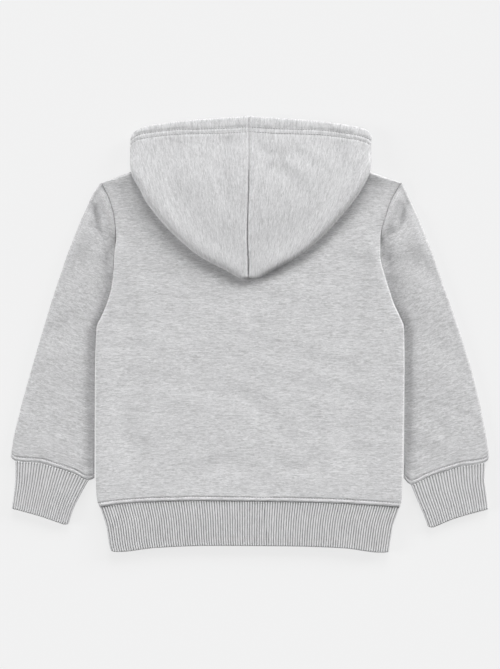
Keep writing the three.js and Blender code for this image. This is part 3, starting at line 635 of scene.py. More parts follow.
class Nodes:
    """Adds and joins nodes in one tree."""

    def __init__(self, tree: bpy.types.NodeTree) -> None:
        """Keeps the tree."""
        self.tree = tree

    def add(self, kind: str, inputs: dict | None = None, **settings: object) -> bpy.types.Node:
        """Adds a node.

        Args:
            kind: Blender's name of the node type.
            inputs: socket name or number to a value, or to the socket that feeds it.
            **settings: the node's own properties.

        Returns:
            The node.
        """
        node = self.tree.nodes.new(kind)
        for name, value in settings.items():
            setattr(node, name, value)
        for key, value in (inputs or {}).items():
            socket = node.inputs[key]
            if isinstance(value, bpy.types.NodeSocket):
                self.tree.links.new(value, socket)
            else:
                socket.default_value = value
        return node

    def math(self, operation: str, *values: object) -> bpy.types.NodeSocket:
        """A Math node's result."""
        return self.add("ShaderNodeMath", dict(enumerate(values)), operation=operation).outputs[0]

    def blend(self, *parts: tuple[bpy.types.NodeSocket, float]) -> bpy.types.NodeSocket:
        """Adds several values up.

        Args:
            *parts: each value with its share.

        Returns:
            The sum.
        """
        total = None
        for value, share in parts:
            part = self.math("MULTIPLY", value, share)
            total = part if total is None else self.math("ADD", total, part)
        return total

    def drawn_noise(self, cloth: bpy.types.NodeSocket, size: tuple, look: dict) -> bpy.types.NodeSocket:
        """Adds noise that is drawn out along the cloth's first direction.

        Args:
            cloth: the cloth's own coordinates.
            size: length and thickness of its streaks.
            look: the noise's other inputs.

        Returns:
            The noise.
        """
        streak = self.add("ShaderNodeCombineXYZ", {0: size[0], 1: size[1], 2: 1.0})
        place = self.add("ShaderNodeVectorMath", {0: cloth, 1: streak.outputs[0]}, operation="DIVIDE")
        inputs = {"Vector": place.outputs[0], "Scale": 1.0, **look}
        return self.add("ShaderNodeTexNoise", inputs, noise_dimensions="2D").outputs["Fac"]

    def ranged(self, value: bpy.types.NodeSocket, low: float, high: float, to_low: float,
               to_high: float) -> bpy.types.NodeSocket:
        """Maps a value from one range to another, held at its ends."""
        node = self.add("ShaderNodeMapRange", {
            "Value": value, "From Min": low, "From Max": high, "To Min": to_low, "To Max": to_high,
        })
        return node.outputs["Result"]


def new_group(kind: str, name: str, inputs: dict, outputs: dict) -> bpy.types.NodeTree:
    """Starts a node group with named sockets.

    Args:
        kind: type of the tree.
        name: name of the group.
        inputs: socket name to its type and its value, where it has one.
        outputs: socket name to its type.

    Returns:
        The tree, with its input and output nodes.
    """
    tree = bpy.data.node_groups.new(name, kind)
    for socket, (socket_type, value) in inputs.items():
        made = tree.interface.new_socket(socket, in_out="INPUT", socket_type=socket_type)
        if value is not None:
            made.default_value = value
    for socket, socket_type in outputs.items():
        tree.interface.new_socket(socket, in_out="OUTPUT", socket_type=socket_type)
    tree.nodes.new("NodeGroupInput")
    tree.nodes.new("NodeGroupOutput")
    return tree


SHADER_SOCKETS = {
    "roughness": "Roughness", "specular": "Specular IOR Level", "sheen": "Sheen Weight",
    "sheen_roughness": "Sheen Roughness",
}
FLOAT = "NodeSocketFloat"
VECTOR = "NodeSocketVector"


def marl_group() -> bpy.types.NodeTree:
    """Draws the short light and dark fibres of a marl yarn, and the soft relief of its knit.

    Returns:
        The group, with the yarn and its relief as outputs.
    """
    tree = new_group(
        "ShaderNodeTree", "marl yarn",
        {"Cloth": (VECTOR, None), "Streak Length": (FLOAT, 0.014), "Streak Thickness": (FLOAT, 0.0016)},
        {"Marl": FLOAT, "Relief": FLOAT},
    )
    nodes = Nodes(tree)
    given = tree.nodes["Group Input"].outputs

    def streaks(long_share: float, thick_share: float, detail: float) -> bpy.types.NodeSocket:
        """Adds streaks of one size.

        Args:
            long_share: their length as a share of the yarn's.
            thick_share: their thickness as a share of the yarn's.
            detail: how finely they are broken up.

        Returns:
            The streaks.
        """
        size = (nodes.math("MULTIPLY", given["Streak Length"], long_share),
                nodes.math("MULTIPLY", given["Streak Thickness"], thick_share))
        look = {"Detail": detail, "Roughness": 0.6, "Distortion": 0.9}
        return nodes.drawn_noise(given["Cloth"], size, look)

    long_streaks = streaks(1.0, 1.0, 2.0)
    short_streaks = streaks(0.36, 0.6, 2.0)
    patches = streaks(2.2, 3.2, 1.0)
    fibres = streaks(0.1, 0.25, 1.0)
    mixed = nodes.blend((long_streaks, 0.4), (short_streaks, 0.38), (patches, 0.1), (fibres, 0.12))
    result = tree.nodes["Group Output"].inputs
    tree.links.new(nodes.ranged(mixed, 0.375, 0.625, 0.0, 1.0), result["Marl"])
    tree.links.new(nodes.blend((short_streaks, 0.6), (fibres, 0.4)), result["Relief"])
    return tree


def crinkle_group() -> bpy.types.NodeTree:
    """Draws fine crinkles that run along the cloth's first direction.

    Returns:
        The group.
    """
    tree = new_group(
        "ShaderNodeTree", "fine crinkles",
        {"Cloth": (VECTOR, None), "Length": (FLOAT, 0.03), "Pitch": (FLOAT, 0.0034)},
        {"Crinkle": FLOAT},
    )
    given = tree.nodes["Group Input"].outputs
    look = {"Detail": 1.5, "Roughness": 0.5, "Distortion": 0.5}
    noise = Nodes(tree).drawn_noise(given["Cloth"], (given["Length"], given["Pitch"]), look)
    tree.links.new(noise, tree.nodes["Group Output"].inputs["Crinkle"])
    return tree


def grey(level: float) -> tuple[float, float, float, float]:
    """Colour of a very slightly cool grey."""
    return (level, level, level * 1.012, 1.0)


class MattShader(Nodes):
    """The nodes of one matt material, round its shader."""

    def __init__(self, name: str, **uniform: float) -> None:
        """Starts the material.

        Args:
            name: its name.
            **uniform: the shader's plain values, with the words of a socket's name joined.
        """
        self.material = bpy.data.materials.new(name)
        self.material.use_nodes = True
        super().__init__(self.material.node_tree)
        self.shader = self.tree.nodes["Principled BSDF"]
        self.cloth = None
        for socket, value in uniform.items():
            self.shader.inputs[SHADER_SOCKETS[socket]].default_value = value

    def colour(self, factor: bpy.types.NodeSocket, dark: float, light: float) -> None:
        """Colours the shader between two greys."""
        mixed = self.add("ShaderNodeMix", {"Factor": factor, 6: grey(dark), 7: grey(light)}, data_type="RGBA")
        self.tree.links.new(mixed.outputs[2], self.shader.inputs["Base Color"])

    def yarn(self, marl: bpy.types.NodeTree, length: float, thickness: float) -> bpy.types.Node:
        """Adds the marl yarn on the cloth's own coordinates.

        Args:
            marl: group with the marl yarn.
            length: length of its streaks.
            thickness: thickness of its streaks.

        Returns:
            The node of the group.
        """
        self.cloth = self.add("ShaderNodeUVMap", uv_map="cloth").outputs[0]
        return self.add("ShaderNodeGroup", {
            "Cloth": self.cloth, "Streak Length": length, "Streak Thickness": thickness,
        }, node_tree=marl)

    def raised(self, height: bpy.types.NodeSocket) -> None:
        """Gives the shader a fine relief of this height."""
        bump = self.add("ShaderNodeBump", {"Height": height, "Distance": 1.0, "Strength": 1.0})
        self.tree.links.new(bump.outputs[0], self.shader.inputs["Normal"])


@dataclass(frozen=True)
class JerseyFinish:
    """Pale grey marl jersey, matt, with its fibres along the knit."""

    name: str
    light: float
    dark: float
    streak_length: float = 0.0095
    streak_thickness: float = 0.0016
    crinkle_depth: float = 0.0
    relief_depth: float = 0.00008
    sheen: float = 0.08

    def build(self, marl: bpy.types.NodeTree, crinkles: bpy.types.NodeTree) -> bpy.types.Material:
        """Makes the material.

        Args:
            marl: group with the marl yarn.
            crinkles: group with the fine crinkles.

        Returns:
            The material.
        """
        made = MattShader(self.name, roughness=0.95, specular=0.18, sheen=self.sheen, sheen_roughness=0.6)
        yarn = made.yarn(marl, self.streak_length, self.streak_thickness)
        made.colour(yarn.outputs["Marl"], self.dark, self.light)
        parts = [(yarn.outputs["Relief"], self.relief_depth)]
        if self.crinkle_depth:
            folds = made.add("ShaderNodeGroup", {"Cloth": made.cloth}, node_tree=crinkles)
            parts.append((folds.outputs["Crinkle"], self.crinkle_depth))
        made.raised(made.blend(*parts))
        return made.material


@dataclass(frozen=True)
class RibFinish:
    """Rib knit of the same marl: light thin ridges between grooves coloured darker as painted shade."""

    name: str
    # Greys of the ridges and the grooves; the dark groove grey is painted shade in the rib grooves
    ridge: float
    groove: float
    streak_length: float = 0.012
    streak_thickness: float = 0.0028
    relief_depth: float = 0.00014

    def build(self, marl: bpy.types.NodeTree) -> bpy.types.Material:
        """Makes the material, which reads the ridge attribute that the ribs leave and uses it to paint shade
        into the grooves.

        Args:
            marl: group with the marl yarn.

        Returns:
            The material.
        """
        made = MattShader(self.name, roughness=0.95, specular=0.15, sheen=0.06)
        yarn = made.yarn(marl, self.streak_length, self.streak_thickness)
        ridge = made.add("ShaderNodeAttribute", attribute_name="ridge").outputs["Fac"]
        # Painted shade: the grooves between the ribs are coloured towards the dark groove grey
        made.colour(made.blend((ridge, 0.78), (yarn.outputs["Marl"], 0.22)), self.groove, self.ridge)
        made.raised(made.math("MULTIPLY", yarn.outputs["Relief"], self.relief_depth))
        return made.material


@dataclass(frozen=True)
class ThreadFinish:
    """Spun grey sewing thread."""

    name: str = "sewing thread"
    light: float = 0.4
    dark: float = 0.26
    twist_scale: float = 2600.0

    def build(self) -> bpy.types.Material:
        """Makes the material, with the turn of the thread as a fine band.

        Returns:
            The material.
        """
        made = MattShader(self.name, roughness=0.8, specular=0.25)
        place = made.add("ShaderNodeTexCoord").outputs["Object"]
        twist = made.add("ShaderNodeTexNoise", {"Vector": place, "Scale": self.twist_scale, "Detail": 1.0})
        made.colour(twist.outputs["Fac"], self.dark, self.light)
        return made.material


@dataclass
class Wardrobe:
    """All finishes of the hoodie, made once."""

    body: bpy.types.Material = field(init=False)
    sleeve: bpy.types.Material = field(init=False)
    hood: bpy.types.Material = field(init=False)
    hem_rib: bpy.types.Material = field(init=False)
    cuff_rib: bpy.types.Material = field(init=False)
    thread: bpy.types.Material = field(init=False)

    def __post_init__(self) -> None:
        """Builds each material from its finish."""
        marl = marl_group()
        crinkles = crinkle_group()
        self.body = JerseyFinish("body jersey", light=0.765, dark=0.475).build(marl, crinkles)
        # Painted shade: the sleeve jersey is the body's fabric in darker greys, for the shade the sleeves lie
        # in
        self.sleeve = JerseyFinish("sleeve jersey with painted shade", light=0.73, dark=0.44).build(marl, crinkles)
        # Painted light: the hood jersey is the body's fabric in slightly lighter greys, for the light the
        # raised hood catches
        hood = JerseyFinish("hood jersey with painted light", light=0.77, dark=0.49, crinkle_depth=0.00012)
        self.hood = hood.build(marl, crinkles)
        # Groove greys far below the ridge greys are painted shade in the rib grooves, deeper on the hem band
        self.hem_rib = RibFinish("hem rib knit with painted groove shade", ridge=0.79, groove=0.14).build(marl)
        self.cuff_rib = RibFinish("cuff rib knit with painted groove shade", ridge=0.76, groove=0.24).build(marl)
        self.thread = ThreadFinish().build()


def with_tree(thing: bpy.types.Object, tree: bpy.types.NodeTree, sizes: dict[str, float]) -> None:
    """Runs a Geometry Nodes tree on an object and keeps the result as its plain mesh.

    Args:
        thing: the object.
        tree: the tree.
        sizes: named inputs of the tree.
    """
    modifier = thing.modifiers.new(tree.name, "NODES")
    modifier.node_group = tree
    for socket in tree.interface.items_tree:
        if socket.item_type == "SOCKET" and socket.in_out == "INPUT" and socket.name in sizes:
            modifier[socket.identifier] = sizes[socket.name]
    depsgraph = bpy.context.evaluated_depsgraph_get()
    made = bpy.data.meshes.new_from_object(thing.evaluated_get(depsgraph))
    thing.modifiers.remove(modifier)
    old = thing.data
    thing.data = made
    made.name = thing.name
    bpy.data.meshes.remove(old)


def rib_tree(material: bpy.types.Material) -> bpy.types.NodeTree:
    """Presses grooves into a smooth tube, so that rounded ribs stand between them.

    Args:
        material: the tube's finish.

    Returns:
        The tree.
    """
    tree = new_group(
        "GeometryNodeTree", f"ribs of {material.name}",
        {"Geometry": ("NodeSocketGeometry", None), "Ribs": (FLOAT, 27.0), "Depth": (FLOAT, 0.0008),
         "Roundness": (FLOAT, 0.8)},
        {"Geometry": "NodeSocketGeometry"},
    )
    nodes = Nodes(tree)
    given = tree.nodes["Group Input"].outputs
    place = nodes.add("GeometryNodeInputNamedAttribute", {"Name": "rib_place"}, data_type="FLOAT")
    reach = nodes.add("GeometryNodeInputNamedAttribute", {"Name": "rib_reach"}, data_type="FLOAT")
    phase = nodes.math("MULTIPLY", nodes.math("MULTIPLY", place.outputs[0], given["Ribs"]), math.pi)
    swell = nodes.math("POWER", nodes.math("ABSOLUTE", nodes.math("SINE", phase)), given["Roundness"])
    press = nodes.math("MULTIPLY", nodes.math("SUBTRACT", 1.0, swell), given["Depth"])
    press = nodes.math("MULTIPLY", nodes.math("MULTIPLY", press, reach.outputs[0]), -1.0)
    normal = nodes.add("GeometryNodeInputNormal")
    offset = nodes.add("ShaderNodeVectorMath", {0: normal.outputs[0], "Scale": press}, operation="SCALE")
    moved = nodes.add("GeometryNodeSetPosition", {"Geometry": given["Geometry"], "Offset": offset.outputs[0]})
    # The ridge share is kept for the rib material, which paints shade into the grooves with it
    kept = nodes.add("GeometryNodeStoreNamedAttribute", {
        "Geometry": moved.outputs[0], "Name": "ridge", "Value": swell,
    }, data_type="FLOAT", domain="POINT")
    real = nodes.add("GeometryNodeRealizeInstances", {"Geometry": kept.outputs[0]})
    dressed = nodes.add("GeometryNodeSetMaterial", {"Geometry": real.outputs[0], "Material": material})
    tree.links.new(dressed.outputs[0], tree.nodes["Group Output"].inputs[0])
    return tree


def stitch_tree(material: bpy.types.Material) -> bpy.types.NodeTree:
    """Lays a row of short raised stitches along each line of a mesh.

    Args:
        material: the thread's finish.

    Returns:
        The tree.
    """
    tree = new_group(
        "GeometryNodeTree", "row of stitches",
        {"Geometry": ("NodeSocketGeometry", None), "Pitch": (FLOAT, 0.003), "Stitch Length": (FLOAT, 0.0025),
         "Thread Radius": (FLOAT, 0.0003), "Unevenness": (FLOAT, 0.12), "Seed": ("NodeSocketInt", 7)},
        {"Geometry": "NodeSocketGeometry"},
    )
    nodes = Nodes(tree)
    given = tree.nodes["Group Input"].outputs
    curve = nodes.add("GeometryNodeMeshToCurve", {0: given["Geometry"]})
    even = nodes.add("GeometryNodeResampleCurve", {
        "Curve": curve.outputs[0], "Length": given["Pitch"],
    }, mode="LENGTH")
    ball = nodes.add("GeometryNodeMeshUVSphere", {"Segments": 7, "Rings": 5, "Radius": 1.0})
    size = nodes.add("ShaderNodeCombineXYZ", {
        0: nodes.math("MULTIPLY", given["Stitch Length"], 0.5),
        1: given["Thread Radius"],
        2: given["Thread Radius"],
    })
    stitch = nodes.add("GeometryNodeTransform", {"Geometry": ball.outputs[0], "Scale": size.outputs[0]})
    along = nodes.add("GeometryNodeInputTangent")
    turned = nodes.add("FunctionNodeAlignRotationToVector", {"Vector": along.outputs[0]}, axis="X")
    least = nodes.math("SUBTRACT", 1.0, given["Unevenness"])
    most = nodes.math("ADD", 1.0, given["Unevenness"])
    uneven = nodes.add("FunctionNodeRandomValue", data_type="FLOAT")
    for socket, value in ((2, least), (3, most), (8, given["Seed"])):
        tree.links.new(value, uneven.inputs[socket])
    placed = nodes.add("GeometryNodeInstanceOnPoints", {
        "Points": even.outputs[0], "Instance": stitch.outputs[0], "Rotation": turned.outputs[0],
        "Scale": uneven.outputs[1],
    })
    real = nodes.add("GeometryNodeRealizeInstances", {"Geometry": placed.outputs[0]})
    smooth = nodes.add("GeometryNodeSetShadeSmooth", {"Geometry": real.outputs[0]})
    dressed = nodes.add("GeometryNodeSetMaterial", {"Geometry": smooth.outputs[0], "Material": material})
    tree.links.new(dressed.outputs[0], tree.nodes["Group Output"].inputs[0])
    return tree


@dataclass
class Workshop:
    """What every piece is made with: finishes and the trees that repeat ribs and stitches."""

    finishes: Wardrobe = field(default_factory=Wardrobe)
    hem_ribs: bpy.types.NodeTree = field(init=False)
    cuff_ribs: bpy.types.NodeTree = field(init=False)
    stitches: bpy.types.NodeTree = field(init=False)

    def __post_init__(self) -> None:
        """Makes the trees with their materials."""
        self.hem_ribs = rib_tree(self.finishes.hem_rib)
        self.cuff_ribs = rib_tree(self.finishes.cuff_rib)
        self.stitches = stitch_tree(self.finishes.thread)

    def sew(self, name: str, lines: list[Array]) -> bpy.types.Object:
        """Lays stitches along lines of points.

        Args:
            name: name of the finished piece.
            lines: points of each line, in millimetres.

        Returns:
            One object with all the stitches.
        """
        points, edges = [], []
        for line in lines:
            start = len(points)
            line = np.array(line)
            line[:, 2] = np.maximum(line[:, 2], 1.15 * THREAD_RADIUS)
            points += (line * MM).tolist()
            edges += [(start + k, start + k + 1) for k in range(len(line) - 1)]
        mesh = bpy.data.meshes.new(name)
        mesh.from_pydata(points, edges, [])
        made = linked(name, mesh)
        sizes = {"Pitch": STITCH_PITCH, "Stitch Length": STITCH_LENGTH, "Thread Radius": THREAD_RADIUS}
        with_tree(made, self.stitches, {size: value * MM for size, value in sizes.items()})
        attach(made, "root")
        return made


@dataclass
class ClothPiece:
    """One cut piece of the hoodie, with its cut size and the pieces sewn on it."""

    shop: Workshop
    node: str = ""
    slot: str = "fleece"
    cut: tuple[float, float] = (0.1, 0.1)
    cut_area: float = 0.01
    rests_on: tuple[str, ...] = ()
    thing: bpy.types.Object | None = None
    on_it: list[bpy.types.Object] = field(default_factory=list)

    def dress(self, material: bpy.types.Material | None) -> None:
        """Gives the piece its finish and its place in the frame.

        Args:
            material: its finish, or none where its ribs bring it.
        """
        if material is not None:
            self.thing.data.materials.clear()
            self.thing.data.materials.append(material)
        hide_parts(self.node)
        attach(self.thing, "root")

    def declare(self) -> None:
        count = sum(len(face.vertices) - 2 for face in self.thing.data.polygons)
        half = sum(face.area for face in self.thing.data.polygons) / 2
        LOG.info("%s: %d triangles, %.4f square metres", self.thing.name, count, half)

    def press_line(self, grid: Array, near: Array, groove: tuple[float, float], seed: int) -> Array:
        """Draws a surface in along a line of stitches, a little unevenly.

        Args:
            grid: the surface.
            near: distance of each point from the line.
            groove: half width and depth of the groove.
            seed: number that fixes the unevenness.

        Returns:
            The surface with its groove.
        """
        width, depth = groove
        uneven = 1 + waves(grid[..., :2], (0.35, (7.0, 7.0), 20, seed))
        return grid - outward(grid, False) * (depth * uneven * bell(near, width))[..., None]


def outward(grid: Array, closed: bool) -> Array:
    """Finds the directions that point out of the cloth.

    Args:
        grid: the surface.
        closed: whether its columns close a ring.

    Returns:
        One unit normal for each point.
    """
    normal = grid_normals(grid, closed)
    top = grid[..., 2] > np.median(grid[..., 2])
    return normal if normal[..., 2][top].mean() > 0 else -normal


def cuff_seam_at(side: Side, x: Array) -> Array:
    """Place in y of the curved cuff seam at each x."""
    seam = side_columns(side, CUFF_SEAM)[::-1]
    return smooth_through(np.abs(seam[:, 0]), seam[:, 1], np.abs(x).ravel()).reshape(np.shape(x))


@dataclass
class BodyPanel(ClothPiece):
    """Back or front of the body, a panel whose sides turn to the side seams."""

    layer: Layer = Layer.BACK
    step: float = 2.3
    edge_puff: float = 0.6
    puff_from_edge: float = 8.0
    puff_half_width: float = 7.5
    puff_end: tuple[float, float] = (140.0, 165.0)
    hood_cover: tuple[float, float] = (40.0, 75.0)
    press_depth: tuple[float, float] = (0.9, 1.5)
    press_deeper: float = 0.4
    press_spread: tuple[float, float] = (2.4, 1.0)
    press_reach: float = 11.0
    armhole_fall: float = 2.3
    armhole_fall_reach: float = 11.0
    seam_depth: float = 0.9
    creases: tuple[Crease, ...] = ()

    def build(self) -> None:
        """Lays the panel out between its edges, gives it its height and sews its hem line."""
        is_back = self.layer is Layer.BACK
        left, right = BODY_EDGE[:, [1, 0]], BODY_EDGE[:, [2, 0]]
        shoulders = (BODY_EDGE[-1, 1], BODY_EDGE[-1, 2])
        width = shoulders[1] - shoulders[0]
        fine = 0.7 if is_back else 1.4
        turns = EDGE_TURNS if is_back else 5
        rows = paced(run_of(traced(left, 1)), self.step, fine, 9.0)
        turn = BODY_EDGE_ROUND * turn_steps(turns)
        seam = np.arange(BODY_EDGE_ROUND + fine, 10.0, fine)
        count = round((width - 20) / self.step)
        middle = np.linspace(10.0, width - 10.0, count + 1)
        columns = np.concatenate([turn, seam, middle, width - seam[::-1], width - turn[::-1]]) / width
        neck = NECK[:, [0, 1]] if is_back else NECK[:, [0, 2]]
        mirrored = neck[-2::-1] * (-1, 1)
        ends = ((shoulders[0], BODY_EDGE[-1, 0]), (shoulders[1], BODY_EDGE[-1, 0]))
        top_line = np.concatenate([[ends[0]], neck, mirrored, [ends[1]]])
        top = np.interp(columns, (top_line[:, 0] - shoulders[0]) / width, top_line[:, 1]) - BODY_EDGE[-1, 0]
        hem = smooth_through(HEM_SEAM[:, 0], HEM_SEAM[:, 1], columns)[:, 0] - BODY_EDGE[0, 0]
        share = rows[:, None] / (len(BODY_EDGE) - 1)
        start, end = by_row(left, rows)[:, None, :], by_row(right, rows)[:, None, :]
        plan = start + (end - start) * columns[None, :, None]
        plan[..., 1] += hem * (1 - share) ** 3 + top * share ** 2
        height = self._height(plan, left, right, shoulders)
        outer = np.concatenate([plan, height[..., None]], axis=-1)
        up = run_down(outer)
        outer = self.press_line(outer, np.abs(up - TOPSTITCH_OFFSET), TOPSTITCH_GROOVE, 11)
        inside = grid_normals(outer, False) * FLEECE_WALL
        inner = outer - inside if is_back else outer + inside
        limit = SIDE_SEAM_HEIGHT + (SEAM_GAP / 2 if is_back else -SEAM_GAP / 2)
        inner[..., 2] = np.maximum(inner[..., 2], limit) if is_back else np.minimum(inner[..., 2], limit)
        self.thing = Wall(f"{self.node}_panel", outer, inner, outer[..., :2].copy()).build()
        line = line_at(outer, up, np.full(outer.shape[1], TOPSTITCH_OFFSET))
        line[:, 2] += TOPSTITCH_LIFT[0 if is_back else 1]
        self.on_it.append(self.shop.sew(f"{self.node}_hem_stitches", [line[3:-3]]))

    def _height(self, plan: Array, left: Array, right: Array, shoulders: tuple[float, float]) -> Array:
        """Works out how high the panel's outer face lies.

        Args:
            plan: plan points of the panel.
            left: its left edge.
            right: its right edge.
            shoulders: x of the two shoulder points.

        Returns:
            Height of each point over the surface.
        """
        sides = [by_row(edge, np.linspace(0, ARMPIT_ROW, 40)) for edge in (left, right)]
        holes = [by_row(edge, np.linspace(ARMPIT_ROW, len(BODY_EDGE) - 1, 80)) for edge in (left, right)]
        slopes = [
            np.array([(shoulder, BODY_EDGE[-1, 0]), (-side.sign * NECK[0, 0], NECK[0, 1])])
            for shoulder, side in zip(shoulders, Side)
        ]
        near_side = np.min([distance_to(line, plan) for line in sides], axis=0)
        near_slope = np.min([distance_to(line, plan) for line in slopes], axis=0)
        near_fold = np.minimum(near_side, near_slope)
        turn = SIDE_SEAM_HEIGHT - SEAM_GAP / 2
        rise = turn * (1 - np.minimum(
            quarter_round(near_side, BODY_EDGE_ROUND), quarter_round(near_slope, SHOULDER_ROUND)))
        if self.layer is Layer.FRONT:
            return rise
        to_hem = plan[..., 1] - plan[:1, :, 1]
        to_hole = np.min([distance_to(line, plan) for line in holes], axis=0)
        over = 1 - soft_step(plan[..., 1], *ARMHOLE_TURNS)
        roll = ARMHOLE_DROP * (1 - quarter_round(to_hole, BODY_EDGE_ROUND)) * over
        fall = self.armhole_fall * bell(to_hole, self.armhole_fall_reach)
        roll = roll + (1 - over) * (fall + ARMHOLE_GROOVE * bell(to_hole, ARMHOLE_GROOVE_HALF_WIDTH))
        near_edge = np.minimum(to_hole, near_side)
        puff = self.edge_puff * bell(near_edge - self.puff_from_edge, self.puff_half_width)
        puff = puff * soft_step(near_edge, 0, 4) * (1 - soft_step(plan[..., 1], *self.puff_end))
        sunk = -seam_relief(to_hem, self.seam_depth)
        under_hood = soft_step(plan[..., 1], *self.hood_cover)
        uneven = waves(plan, *BACK_WAVES) - WAVE_SINK
        uneven = uneven + relief(self.creases, plan) - self._under_hood_edge(plan)
        uneven = np.where(uneven > 0, uneven * (1 - under_hood), uneven) * soft_step(near_fold, 2, 16)
        down = np.maximum(np.maximum(rise, roll), np.where(to_hem < 12, sunk, 0))
        return BODY_HEIGHT - down + puff + uneven * soft_step(np.minimum(to_hem, to_hole), 1, 12)

    def _under_hood_edge(self, plan: Array) -> Array:
        """Presses the back down along the hood's edge, most beside the shoulders.

        Args:
            plan: plan points of the panel.

        Returns:
            Depth at each point.
        """
        left, right = (side_columns(side, HOOD_RING, 2)[:PRESSED_RINGS] for side in Side)
        at = np.linspace(0, PRESSED_RINGS - 1, 60)
        edge = np.concatenate([by_row(left, at[::-1]), by_row(right, at)])
        raised = soft_step(plan[..., 1], 90, 160)
        on_left = plan[..., 0] < 0
        depth = np.where(on_left, *self.press_depth) + self.press_deeper * raised
        spread = 1 + raised * np.where(on_left, *self.press_spread)
        return depth * bell(distance_to(edge, plan) / spread, self.press_reach)


